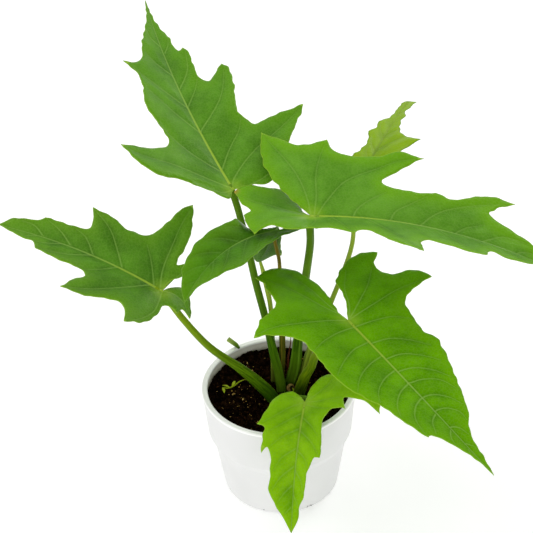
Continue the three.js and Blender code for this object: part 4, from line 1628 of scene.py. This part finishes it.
MATURE = BladeSkin("blade_back_left", "2e600c", "568c22", "568c14", vein_strength=0.38, sheen=0.24)
RIGHT_SKIN = BladeSkin("blade_right", "3c7012", "62982a", "669e0e", sheen=0.12)
LEFT_SKIN = BladeSkin("blade_left", "2c5a0e", "568c20", "5a8c18", vein_strength=0.42, tint="d8ff78")
FRONT_RIGHT_SKIN = BladeSkin(
    "blade_front_right", "3a7004", "66a402", "649e02", vein_strength=0.42, sheen=0.02, tip_depth=0.3
)
FRONT_SKIN = BladeSkin("blade_front", "528a04", "90c412", "84ba08", sheen=0.15, tip_depth=0.45)
# The centre blade's dark colours and negative tip depth darken it towards the joint: painted shade where the
# right leaf overhangs it.
CENTRE_SKIN = BladeSkin(
    "blade_centre", "183806", "447a12", "528412", vein="66963c", rib="80a848", vein_strength=0.3, sheen=0.24,
    tip_depth=-0.6
)
YOUNG_SKIN = BladeSkin(
    "blade_young", "588004", "88ac10", "84a814", vein="94b044", rib="547c14", rough=0.36, sheen=0.12, glow=0.1
)
UNDERSIDE = BladeSkin("blade_underside", "4a7624", "628c34", "7ea044", rough=0.6)
# A darker copy of the underside: painted shade for the centre leaf's drooping lobe, whose underside hangs in
# shadow.
SHADED_UNDERSIDE = BladeSkin("blade_underside_shaded", "20400c", "305c16", "4e7434", rough=0.6)

LEAF_BACK_LEFT = Leaf(
    "leaf_back_left", (-29, 44, 247), 117, 20, 222, turn=-0.07, arch=0.04, roll=-3, wave_phase=0,
    skin=MATURE, under=UNDERSIDE, slot="blade_mature", quilt=1.4,
    left=HalfBlade(
        15,
        (
            edge(-8, 9), edge(2, 21), edge(13, 39), edge(20, 58), edge(34, 68), tooth(51, 72),
            edge(46, 52), edge(46, 37), edge(53, 31), edge(70, 32), tooth(88, 36), edge(98, 34),
            edge(113, 30), edge(127, 30), tooth(140, 38), edge(139, 26), edge(146, 20), edge(164, 15),
            edge(192, 5),
        ),
        (
            ((0, 0), (-1, 10), (7, 26), (15, 45), (22, 58)),
            ((2, 0), (14, 17), (27, 36), (38, 58), (49, 70)),
            ((18, 0), (40, 18), (64, 29), (84, 35)),
            ((60, 0), (84, 14), (108, 26)),
            ((88, 0), (108, 14), (126, 26), (138, 37)),
            ((125, 0), (140, 10), (152, 15)),
            ((160, 0), (172, 6), (184, 7)),
        ),
    ),
    right=HalfBlade(
        15,
        (
            edge(-3, 14), edge(-7, 27), edge(-1, 40), edge(13, 51), edge(26, 62), edge(38, 73),
            tooth(49, 82), edge(50, 62), edge(49, 42), edge(56, 36), edge(65, 34), edge(76, 35),
            edge(90, 40), edge(105, 43), edge(114, 43), tooth(120, 39.5), edge(112, 31),
            edge(107, 24), edge(113, 19), edge(122, 18), edge(137, 19), edge(146, 19),
            tooth(151, 16.5), edge(149.5, 12), edge(166, 9), edge(190, 3),
        ),
        (
            ((0, 0), (-2, 14), (2, 34), (14, 46)),
            ((2, 0), (8, 4), (18, 17), (27, 33), (33, 48), (40, 64), (48, 80)),
            ((20, 0), (36, 14), (50, 28), (60, 33)),
            ((61, 0), (83, 24), (100, 34), (114, 39)),
            ((88, 0), (104, 12), (114, 17)),
            ((108, 0), (125, 12), (146, 17)),
            ((150, 0), (160, 6), (168, 8)),
        ),
    ),
)

LEAF_RIGHT = Leaf(
    "leaf_right", (27, 4, 248), -6, 3, 177, turn=-0.05, arch=0.15, roll=0, wave_phase=1,
    lobe_droop=(0, 0.63), lobe_droop_limit=32,
    skin=RIGHT_SKIN, under=UNDERSIDE, slot="blade_mature", quilt=0.9,
    left=HalfBlade(
        20,
        (
            edge(-5, 5.5), edge(-12, 13), edge(-19, 22), edge(-26, 31), edge(-37, 53),
            tooth(-39, 80), edge(-25, 74), edge(-8, 67), tooth(8, 70), edge(13, 59), edge(25, 55),
            edge(42, 58), edge(58, 64), tooth(74, 60), edge(62, 50), edge(48, 36), edge(54, 30),
            edge(74, 29), tooth(86, 31), edge(96, 28), edge(108, 34), edge(124, 42), tooth(141, 41),
            edge(131, 34), edge(125, 26), edge(135, 20), edge(148, 17), tooth(161, 12),
        ),
        (
            ((0, 0), (-3, 15), (-9, 33), (-17, 49), (-28, 65), (-37, 77)),
            ((2, 0), (3, 18), (2, 38), (5, 58), (8, 68)),
            ((4, 0), (8, 9), (13, 18), (21, 30), (28, 36), (41, 45), (57, 56), (72, 59)),
            ((30, 0), (33, 8), (41, 17), (52, 26)),
            ((57, 0), (60, 9), (69, 17), (84, 30)),
            ((79, 0), (85, 9), (92, 16), (108, 26), (124, 34), (140, 40)),
            ((104, 0), (112, 8), (122, 14)),
            ((125, 0), (131, 5), (139, 10), (159, 12)),
            ((150, 0), (156, 4), (164, 6)),
        ),
    ),
    right=HalfBlade(
        19,
        (
            edge(-5, -5), edge(-7, -11), edge(-14, -28), tooth(-24, -40), edge(-38, -37),
            edge(-50, -36), tooth(-58, -30), edge(-52, -17), edge(-45, -10), tooth(-50, -5),
            edge(-46, 7), tooth(-40, 18), edge(-34, 11), edge(-26, 11), edge(-13, 23), edge(3, 33),
            edge(17, 30), tooth(33, 38), edge(38, 30), edge(46, 33), edge(62, 55), tooth(82, 61),
            edge(80, 42), edge(86, 31), edge(100, 31), edge(114, 34), tooth(126, 32), edge(132, 17),
            edge(143, 21), edge(158, 12),
        ),
        (
            ((0, 0), (-14, -9), (-30, -16), (-44, -20), (-55, -27)),
            ((0, 0), (-14, 0), (-28, 2), (-39, 12)),
            ((2, 0), (4, 12), (2, 24), (6, 30)),
            ((14, 0), (22, 14), (31, 33)),
            ((40, 0), (54, 20), (68, 42), (80, 59)),
            ((66, 0), (78, 14), (86, 26)),
            ((92, 0), (106, 16), (124, 30)),
            ((118, 0), (128, 8), (140, 16)),
            ((142, 0), (150, 6), (158, 8)),
        ),
        dry=((-58, -30),),
    ),
)

LEAF_LEFT = Leaf(
    "leaf_left", (-85, 10, 181), 160, 27, 134, turn=0.06, arch=0.13, roll=13, wave_phase=2,
    skin=LEFT_SKIN, under=UNDERSIDE, slot="blade_mature", quilt=1.7,
    left=HalfBlade(
        15,
        (
            edge(-4, -8), edge(-11, -14), edge(-18, -12), edge(-23, -4), tooth(-29, 9), edge(-20, 6),
            tooth(-19, 13), edge(-12, 10), edge(-7, 13), edge(-6, 27), edge(0, 42), tooth(12, 51),
            edge(15, 42), edge(21, 35), edge(33, 37), edge(48, 45), tooth(67, 48), edge(62, 35),
            edge(55, 25), edge(63, 20), edge(78, 20), tooth(100, 15), edge(104, 9), edge(113, 8),
            edge(124, 4),
        ),
        (
            ((0, 0), (-8, -4), (-18, -2), (-26, 6)),
            ((0, 0), (-2, 10), (-3, 24), (2, 38), (10, 49)),
            ((10, 0), (28, 19), (47, 35), (64, 46)),
            ((38, 0), (50, 12), (60, 19)),
            ((60, 0), (78, 10), (98, 14)),
            ((84, 0), (94, 5), (104, 7)),
            ((104, 0), (112, 4)),
        ),
    ),
    right=HalfBlade(
        16,
        (
            edge(0, 6), edge(-5, 15), edge(-10, 23), edge(-4, 28), edge(1, 23), edge(2, 35),
            edge(4, 52), tooth(13, 74), edge(20, 61), edge(23, 48), edge(30, 33), edge(43, 30),
            edge(56, 34), tooth(74, 36), edge(70, 27), edge(71, 19), edge(87, 16), tooth(103, 16),
            edge(107, 12), edge(124, 8),
        ),
        (
            ((0, 0), (-2, 10), (-6, 22)),
            ((2, 0), (8, 15), (11, 36), (13, 54), (13, 72)),
            ((7, 0), (18, 16), (27, 27)),
            ((34, 0), (44, 12), (56, 25), (72, 35)),
            ((58, 0), (70, 12), (78, 15)),
            ((76, 0), (88, 9), (101, 15)),
            ((98, 0), (108, 7), (118, 8)),
        ),
    ),
)

LEAF_FRONT_RIGHT = Leaf(
    "leaf_front_right", (50, -58, 200), -60, -4, 165, turn=0.015, arch=0.04, roll=4, wave_phase=3,
    skin=FRONT_RIGHT_SKIN, under=UNDERSIDE, slot="blade_bright", quilt=0.9,
    left=HalfBlade(
        8,
        (
            edge(-6, 3), edge(-14, 8), edge(-28, 13), edge(-42, 18), edge(-54, 32), edge(-58, 48),
            tooth(-52, 61), edge(-44, 53), edge(-33, 49), edge(-23, 54), edge(-17, 69), tooth(-3, 75),
            edge(-1, 60), edge(6, 44), edge(20, 41), edge(37, 38), edge(50, 41), edge(68, 36),
            edge(90, 29), edge(112, 20), edge(131, 8), edge(148, 4),
        ),
        (
            ((0, 0), (-12, 9), (-30, 17), (-48, 30)),
            ((0, 0), (-6, 9), (-14, 20), (-24, 33), (-38, 46), (-50, 58)),
            ((0, 0), (-2, 10), (-4, 25), (-6, 44), (-5, 62), (-3, 73)),
            ((8, 0), (10, 14), (14, 28), (22, 38)),
            ((28, 0), (31, 14), (40, 25), (53, 34)),
            ((46, 0), (48, 12), (56, 22), (68, 31)),
            ((60, 0), (63, 11), (72, 21), (84, 28)),
            ((73, 0), (75, 10), (82, 20), (94, 25)),
            ((88, 0), (90, 8), (98, 16), (108, 20)),
            ((102, 0), (104, 8), (112, 14), (122, 13)),
            ((118, 0), (122, 5), (130, 7)),
            ((134, 0), (140, 4)),
        ),
    ),
    right=HalfBlade(
        8,
        (
            edge(-6, 2), edge(-16, 0), edge(-30, -3), edge(-50, -4), edge(-66, -1), edge(-77, 8),
            edge(-77, 22), tooth(-71, 34), edge(-62, 33), edge(-48, 36), edge(-36, 39), edge(-27, 47),
            edge(-18, 62), tooth(-3, 78), edge(-3, 66), edge(3, 51), edge(11, 45), edge(26, 46),
            edge(48, 48), edge(66, 43), edge(84, 33), edge(106, 27), tooth(121, 21), edge(121, 17),
            edge(130, 10), edge(150, 2),
        ),
        (
            ((0, 0), (-20, 3), (-45, 4), (-66, 8)),
            ((0, 0), (-8, 2), (-23, 9), (-48, 18), (-70, 30)),
            ((0, 0), (-4, 12), (-8, 36), (-9, 58), (-5, 76)),
            ((8, 0), (10, 16), (15, 32), (22, 44)),
            ((26, 0), (30, 16), (40, 32), (50, 44)),
            ((42, 0), (47, 14), (57, 30), (68, 40)),
            ((58, 0), (63, 13), (73, 26), (84, 32)),
            ((73, 0), (79, 12), (89, 22), (100, 27)),
            ((88, 0), (94, 10), (104, 18), (118, 21)),
            ((104, 0), (110, 8), (120, 13)),
            ((120, 0), (126, 5), (134, 7)),
            ((138, 0), (144, 3)),
        ),
    ),
)

LEAF_FRONT = Leaf(
    "leaf_front", (19, -38, 108), -102, -9, 104, turn=0.06, arch=0.36, roll=-2, wave_phase=4,
    skin=FRONT_SKIN, under=UNDERSIDE, slot="blade_bright", quilt=1.0, rib_width=1.2,
    left=HalfBlade(
        12,
        (
            edge(-6, 1), edge(-14, 2), edge(-22, 7), edge(-27, 14), edge(-23, 24), edge(-13, 35),
            edge(-5, 47), edge(4, 58), tooth(14, 60), edge(8, 54), edge(3, 49), edge(0, 41),
            edge(-2, 31), tooth(8, 33), edge(7, 25), edge(11, 19), edge(22, 16), edge(35, 18),
            tooth(48, 18), edge(48, 14), edge(52, 11), edge(63, 9), tooth(76, 8), edge(84, 6),
            edge(95, 4),
        ),
        (
            ((0, 0), (-8, 8), (-18, 16), (-24, 18)),
            ((0, 0), (-1, 12), (-3, 24), (0, 38), (11, 57)),
            ((2, 0), (6, 12), (7, 22), (8, 31)),
            ((14, 0), (22, 8), (30, 14)),
            ((26, 0), (36, 10), (47, 17)),
            ((42, 0), (50, 7), (56, 9)),
            ((58, 0), (66, 5), (75, 7)),
            ((76, 0), (84, 4)),
        ),
    ),
    right=HalfBlade(
        12,
        (
            edge(-5, 5), edge(-7, 11), edge(-4, 18), edge(4, 24), edge(16, 28), tooth(27, 32),
            edge(28, 26), edge(36, 27), tooth(48, 26), edge(44, 22), edge(49, 19), edge(62, 18),
            edge(74, 18), edge(81, 15), edge(90, 8),
        ),
        (
            ((0, 0), (-3, 8), (-3, 16)),
            ((0, 0), (7, 10), (16, 19), (26, 30)),
            ((10, 0), (20, 11), (30, 22)),
            ((24, 0), (34, 13), (47, 24)),
            ((40, 0), (50, 11), (60, 16)),
            ((54, 0), (64, 10), (74, 16)),
            ((68, 0), (76, 7), (84, 12)),
            ((84, 0), (90, 5)),
        ),
    ),
)

LEAF_CENTRE = Leaf(
    "leaf_centre", (0, 6, 235), -157, 8, 92, turn=0.4, arch=0.46, roll=7, wave_phase=5,
    lobe_droop=(0, 5.5), lobe_droop_limit=85, droop_start=20, droop_reach=14,
    skin=CENTRE_SKIN, under=SHADED_UNDERSIDE, slot="blade_dark", quilt=0.9, rib_width=1.0,
    left=HalfBlade(
        12,
        (
            edge(-6, 0), edge(-14, -1), tooth(-19, 3), edge(-12, 6), edge(-4, 8), edge(6, 14),
            edge(16, 17), edge(24, 20), edge(35, 23), edge(46, 23), edge(54, 18), edge(62, 14),
            edge(69, 9), edge(77, 4), edge(85, 2),
        ),
        (
            ((0, 0), (-8, 1), (-15, 2)),
            ((0, 0), (3, 7), (10, 13)),
            ((8, 0), (16, 8), (24, 16), (32, 20)),
            ((22, 0), (32, 10), (42, 19)),
            ((38, 0), (48, 8), (58, 13)),
            ((54, 0), (62, 6), (70, 7)),
            ((70, 0), (76, 3)),
        ),
    ),
    right=HalfBlade(
        12,
        (
            edge(-4, 3), edge(-9, 10), edge(-12, 22), tooth(-18, 38), edge(-11, 36), edge(0, 42),
            edge(6, 40), edge(8, 31), edge(13, 22), edge(22, 19), edge(33, 20), edge(45, 20),
            edge(58, 18), edge(73, 13), edge(84, 6),
        ),
        (
            ((0, 0), (-6, 10), (-10, 22), (-12, 33)),
            ((0, 0), (0, 14), (0, 28), (1, 36)),
            ((2, 0), (6, 14), (7, 28)),
            ((12, 0), (20, 10), (28, 17)),
            ((28, 0), (38, 11), (48, 18)),
            ((44, 0), (54, 10), (62, 15)),
            ((58, 0), (68, 8), (76, 11)),
            ((74, 0), (80, 5)),
        ),
    ),
)

LEAF_YOUNG = Leaf(
    "leaf_young", (64, 50, 243), 69, 7, 143, turn=0, arch=0.13, roll=-4, wave_phase=6,
    skin=YOUNG_SKIN, under=UNDERSIDE, slot="blade_lime", quilt=1.2, rib_width=1.0,
    left=HalfBlade(
        16,
        (
            edge(-10, 7), edge(-13, 18), tooth(-2, 27), edge(14, 20), edge(29, 14), edge(41, 11),
            edge(53, 9), tooth(67, 13), edge(76, 9), tooth(86, 10), edge(99, 5), edge(115, 4),
            edge(137, 3),
        ),
        (
            ((0, 0), (-5, 10), (-3, 24)),
            ((8, 0), (18, 8), (28, 12)),
            ((28, 0), (42, 6), (52, 8)),
            ((44, 0), (56, 7), (66, 12)),
            ((66, 0), (76, 5), (85, 9)),
            ((90, 0), (100, 3)),
            ((112, 0), (120, 3)),
        ),
    ),
    right=HalfBlade(
        16,
        (
            edge(-8, 5), edge(-11, 12), tooth(-3, 18), edge(12, 17), edge(28, 17), edge(45, 20),
            tooth(63, 32), edge(67, 20), edge(77, 11), edge(98, 6), tooth(108, 7), edge(118, 4),
            tooth(126, 6), edge(134, 5.5), tooth(140, 7.5),
        ),
        (
            ((0, 0), (-4, 8), (-4, 16)),
            ((10, 0), (20, 9), (30, 15)),
            ((26, 0), (42, 15), (61, 30)),
            ((48, 0), (60, 9), (68, 16)),
            ((70, 0), (80, 7)),
            ((92, 0), (106, 6)),
            ((112, 0), (124, 5)),
        ),
    ),
)


# Stalks


GREEN_STALK = StalkSkin("green_stalk", "1e4402", "456e08", "628820", "4e6a10")
# The near-black foot colours of the bright and the left stalk are painted shade at their bases.
BRIGHT_STALK = StalkSkin("bright_stalk", "406004", "6e860a", "80962a", "1c3402")
LEFT_STALK = StalkSkin("left_stalk", "2a4a02", "5a800a", "84a01e", "204604")
YOUNG_STALK = StalkSkin("young_stalk", "5c7a18", "86a02c", "9cb440", "646c26")
OLIVE_STALK = StalkSkin("olive_stalk", "3a400c", "62681c", "7c6c20", "5a5c1c")
DRY_SCALE = StalkSkin("dry_scale", "3a140a", "70301a", "5a2c1c", "2c1208", 0.75)
CUT_STALK = StalkSkin("cut_stalk", "34560a", "6c8c24", "9cb05c", "3c5c14")
SEEDLING = StalkSkin("seedling", "7a8e12", "b2c02c", "98ac20", "868c24", 0.5)

STALKS = (
    Stalk(
        LEAF_BACK_LEFT, Foot(2, 5.8, 3.9), end=2.7, skin=GREEN_STALK, slot="stalk_green", sheath=0.28,
        via=(
            (-0.3, 9, 102), (-3.3, 11.2, 118), (-9, 17.5, 149), (-14.5, 23.5, 174), (-20, 31, 204),
            (-25, 38, 228),
        ),
    ),
    Stalk(
        LEAF_RIGHT, Foot(9.5, 14, 4.5), end=2.9, skin=GREEN_STALK, slot="stalk_green",
        approach=(-1.5, 9),
        via=((13.2, 13.5, 100), (15.8, 12.6, 127), (21, 11, 176), (26.2, 8.5, 220)),
    ),
    Stalk(
        LEAF_LEFT, Foot(-5.2, -4.6, 5), end=2.6, skin=LEFT_STALK, slot="stalk_green",
        via=((-16, -3, 99), (-29, -2, 113), (-52, 2, 132), (-71, 6, 157)),
    ),
    Stalk(
        LEAF_FRONT_RIGHT, Foot(16, 0, 4.4), end=2.8, skin=BRIGHT_STALK, slot="stalk_green",
        via=((20, -6, 105), (25, -14, 123), (28, -22, 140), (38, -38, 168)),
    ),
    Stalk(
        LEAF_FRONT, Foot(6.5, -5.6, 3.2), end=1.8, skin=GREEN_STALK, slot="stalk_green",
        via=((8, -10, 92), (12, -19, 97)),
    ),
    Stalk(
        LEAF_CENTRE, Foot(1.6, 16, 2.6), end=1.4, skin=OLIVE_STALK, slot="stalk_olive",
        approach=(-3, 8), reach=0.5, below=1.9, full=2.4,
        via=((3.6, 14.5, 117), (3.6, 13, 158), (3.4, 10, 190), (3, 8, 208)),
    ),
    Stalk(
        LEAF_YOUNG, Foot(17.2, 10, 2.8), end=1.7, skin=YOUNG_STALK, slot="shoot_skin",
        via=((20.3, 11.6, 98), (25.4, 15.6, 116), (43, 25, 156), (59, 38, 198)),
    ),
)


# Small pieces at the stalks' feet and on the soil


@dataclass
class Bud:
    """The round bud on the stem base, hollow on one side, with a pale hooked tip."""

    x: float = 9.2
    y: float = 4.4
    radius: float = 3.0
    top: float = 90.0
    shoulder: float = 3.2
    bottom: float = 73.0
    hollow: Point = (0.45, -0.8, 0.35)
    hollow_depth: float = 1.5
    hollow_edge: Place = (0.62, 0.38)
    scale_height: float = 0.12
    scale_grain: float = 3.4
    hook: tuple[Point, ...] = ((10.4, 2.4, 88.2), (11.2, 1.2, 87.0), (11.1, -0.5, 85.8))

    def swollen(self, ball: Array) -> tuple[Array, Array]:
        """Draws a ball out into the bud and dents it.

        Args:
            ball: The ball's points, on a radius of one.

        Returns:
            The bud's points, and how deep in the hollow each one lies, from 0 to 1.
        """
        across, rise = ball[:, :2], ball[:, 2]
        spread = np.linalg.norm(across, axis=1)
        outward = across / np.maximum(spread, 1e-6)[:, None]
        wide = np.where(rise > 0, spread, np.minimum(1, np.sqrt(spread)))
        scaly = 1 + np.array([self.scale_height * noise.noise(Vector(p) * self.scale_grain) for p in ball])
        drawn = np.where(rise > 0, self.shoulder, self.top - self.shoulder - self.bottom)
        height = self.top - self.shoulder + rise * drawn
        points = np.column_stack([outward * (self.radius * wide * scaly)[:, None], height])
        points[:, :2] += (self.x, self.y)
        aim = np.array(self.hollow) / np.linalg.norm(self.hollow)
        facing = np.clip((ball @ aim - self.hollow_edge[0]) / self.hollow_edge[1], 0, 1)
        sunk = facing**2 * (3 - 2 * facing)
        return points - sunk[:, None] * aim * self.hollow_depth, sunk

    def build(self) -> bpy.types.Object:
        """Builds the bud from a ball, with its hook.

        Returns:
            The finished bud.
        """
        deselect_all()
        bpy.ops.mesh.primitive_uv_sphere_add(segments=40, ring_count=28, radius=1)
        bud = bpy.context.object
        bud.name = bud.data.name = "crown_bud"
        ball = np.array([v.co[:] for v in bud.data.vertices])
        points, sunk = self.swollen(ball)
        bud.data.vertices.foreach_set("co", (points * MM).ravel())
        smoothed(bud, BudScale())
        # How deep each point lies in the hollow, which the finish reads to paint shade there.
        store(bud, "hollow", sunk)
        hook = Rod(np.array(self.hook), (0.3, 0.55, 0.25), rings=24, sides=12)
        bud = joined([bud, hook.build("bud_hook", SEEDLING)])
        return settle(bud, "crown")


@dataclass(frozen=True)
class SmallRod:
    """A slender small piece: its stops and radii, and what it stands for."""

    name: str
    node: str
    slot: str
    skin: StalkSkin
    stops: tuple[Point, ...]
    radii: tuple[float, ...]
    rings: int = 60
    flat: float = 1.0
    ridge: float = 0.05
    ridges: int = 5
    wobble: float = 0.0

    def build(self) -> bpy.types.Object:
        """Builds the piece.

        Returns:
            The finished piece.
        """
        stops = np.array(self.stops, float)
        rod = Rod(stops, self.radii, self.rings, 20, self.flat, self.ridge, self.ridges, self.wobble)
        return settle(rod.build(self.name, self.skin), self.node)


SMALL_RODS = (
    SmallRod(
        "young_shoot", "shoot", "shoot_skin", YOUNG_STALK,
        stops=(
            (-4.2, 18.2, 73), (-4, 19, 99), (-3.6, 20, 123), (-4.6, 21.4, 156), (-6.5, 22, 170),
            (-10, 24, 190), (-14, 25, 206),
        ),
        radii=(1.9, 1.8, 1.7, 1.8, 2.0, 0.4), rings=90,
    ),
    SmallRod(
        "dry_cataphyll", "cataphyll", "dry_scale", DRY_SCALE,
        stops=((7.6, 20.4, 75), (7.7, 20.4, 92), (8.2, 20.6, 104), (10, 21, 116), (10.6, 21.6, 124)),
        radii=(1.9, 2.2, 2.0, 1.6, 0.6), flat=0.3, ridge=0.1, ridges=9, wobble=0.1,
    ),
    SmallRod(
        "cut_stalk_end", "stalk_end", "stalk_green", CUT_STALK,
        stops=((-30.6, 44.8, 95.6), (-33, 48.4, 96.2), (-36, 50.8, 97.2), (-39.2, 53, 98.6)),
        radii=(1.0, 1.8, 1.9, 2.0), rings=30,
    ),
)


@dataclass
class Seedling:
    """The seedling on the soil: a thread-like stem and three seed leaves."""

    soil: Soil
    lie: float = 1.6
    stem: tuple[Place, ...] = ((-25.6, 19.9), (-30.4, 17.4), (-35.9, 12.4), (-40, 9.8), (-43.6, 9.6))
    radii: tuple[float, ...] = (0.4, 0.5, 0.6, 0.6, 0.5)
    leaflets: tuple[Point, ...] = ((-35.4, 15, 70), (-43.4, 6.9, 100), (-41.4, 11.4, 150))
    leaflet_half: Point = (3.6, 1.2, 0.4)
    leaflet_lift: float = 0.4
    leaflet_tilt: float = 14.0

    def on_soil(self, x: float, y: float, lift: float = 0.0) -> Point:
        """Gives a place just above the soil's surface."""
        return (x, y, self.soil.surface(x, y) + self.lie + lift)

    def leaflet(self, x: float, y: float, turn: float) -> bpy.types.Object:
        """Builds one seed leaf: a flattened, cupped ball.

        Args:
            x: Where its middle lies.
            y: Where its middle lies.
            turn: Its heading, in degrees.

        Returns:
            The seed leaf.
        """
        deselect_all()
        bpy.ops.mesh.primitive_uv_sphere_add(segments=24, ring_count=14, radius=1)
        leaf = bpy.context.object
        p = np.array([v.co[:] for v in leaf.data.vertices])
        long, wide, thick = self.leaflet_half
        width = wide * (1 - 0.25 * p[:, 0]) * (1 - 0.4 * abs(p[:, 0]))
        cup = 0.5 * p[:, 1] ** 2 - 0.5 * p[:, 0] ** 2
        points = np.column_stack([long * p[:, 0], width * p[:, 1], thick * p[:, 2] + cup])
        leaf.data.vertices.foreach_set("co", points.ravel())
        about = Matrix.Rotation(math.radians(turn), 4, "Z")
        about @= Matrix.Rotation(math.radians(self.leaflet_tilt), 4, "X")
        place = Matrix.Translation(Vector(self.on_soil(x, y, self.leaflet_lift)))
        leaf.data.transform(Matrix.Scale(MM, 4) @ place @ about)
        smoothed(leaf, SEEDLING)
        store(leaf, "run", np.full(len(p), 0.6))
        store(leaf, "turn", 0.3 * p[:, 0])
        return leaf

    def build(self) -> bpy.types.Object:
        """Builds the seedling as one piece.

        Returns:
            The finished seedling.
        """
        stem = np.array([self.on_soil(x, y) for x, y in self.stem])
        body = Rod(stem, self.radii, rings=40, sides=12).build("seedling_sprig", SEEDLING)
        sprig = joined([body, *(self.leaflet(*row) for row in self.leaflets)])
        return settle(sprig, "sprig")


# The studio


@dataclass(frozen=True)
class Camera:
    """The camera where the photograph was taken from, in millimetres and degrees."""

    place: Point = (-6.36, -916.4, 869.25)
    tilt: float = 35.84
    roll: float = 2.0
    focal_px: float = 1540.0
    frame_px: float = 533.0
    sensor: float = 36.0

    def build(self) -> None:
        """Adds the camera and makes it the scene's own."""
        tilt, roll = math.radians(self.tilt), math.radians(self.roll)
        look = Vector((0, math.cos(tilt), -math.sin(tilt)))
        plumb = Vector((0, math.sin(tilt), math.cos(tilt)))
        level = Vector((1, 0, 0))
        right = level * math.cos(roll) - plumb * math.sin(roll)
        up = plumb * math.cos(roll) + level * math.sin(roll)
        deselect_all()
        bpy.ops.object.camera_add()
        camera = bpy.context.object
        turned = Matrix((right, up, -look)).transposed().to_4x4()
        camera.matrix_world = Matrix.Translation(Vector(self.place) * MM) @ turned
        camera.data.sensor_width = self.sensor
        camera.data.lens = self.sensor * self.focal_px / self.frame_px
        camera.data.clip_start = 0.01
        bpy.context.scene.camera = camera


@dataclass(frozen=True)
class Softbox:
    """One square studio light: its place and side in metres, its power in watts."""

    place: Point
    size: float
    power: float
    aim: Point = (0.0, 0.0, 0.15)

    def build(self) -> None:
        """Adds the light, facing the plant."""
        deselect_all()
        bpy.ops.object.light_add(type="AREA", location=self.place)
        lamp = bpy.context.object
        lamp.data.size = self.size
        lamp.data.energy = self.power
        turned = (Vector(self.aim) - Vector(self.place)).to_track_quat("-Z", "Y")
        lamp.rotation_euler = turned.to_euler()


@dataclass(frozen=True)
class Studio:
    """Soft white light from all round, with three softboxes for the leaves' sheen."""

    sky: float = 0.78
    boxes: tuple[Softbox, ...] = (
        Softbox((-0.75, 0.15, 1.35), 0.8, 4.2),
        Softbox((0.88, 0.96, 1.06), 0.7, 4.8),
        Softbox((-0.4, -1.5, 0.5), 1.0, 4.0),
    )
    floor_size: float = 14.0

    def build(self) -> None:
        """Adds the lights, the bright surroundings and the floor."""
        world = bpy.data.worlds.new("studio")
        world.use_nodes = True
        world.node_tree.nodes["Background"].inputs["Color"].default_value = (1, 1, 1, 1)
        world.node_tree.nodes["Background"].inputs["Strength"].default_value = self.sky
        bpy.context.scene.world = world
        bpy.context.scene.view_settings.view_transform = "Standard"
        for box in self.boxes:
            box.build()
        deselect_all()
        bpy.ops.mesh.primitive_plane_add(size=self.floor_size)
        floor = bpy.context.object
        floor.name = "floor"
        floor.data.materials.append(StudioFloor().material())


def main() -> None:
    """Builds the plant, its pot and the studio, in order."""
    logging.basicConfig(level=logging.INFO, format="%(message)s")
    Pot().build()
    soil = Soil()
    soil.build()
    for stalk in STALKS:
        stalk.build()
        stalk.leaf.build()
    Bud().build()
    for rod in SMALL_RODS:
        rod.build()
    Seedling(soil).build()
    Camera().build()
    Studio().build()
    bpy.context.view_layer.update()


if __name__ == "__main__":
    main()
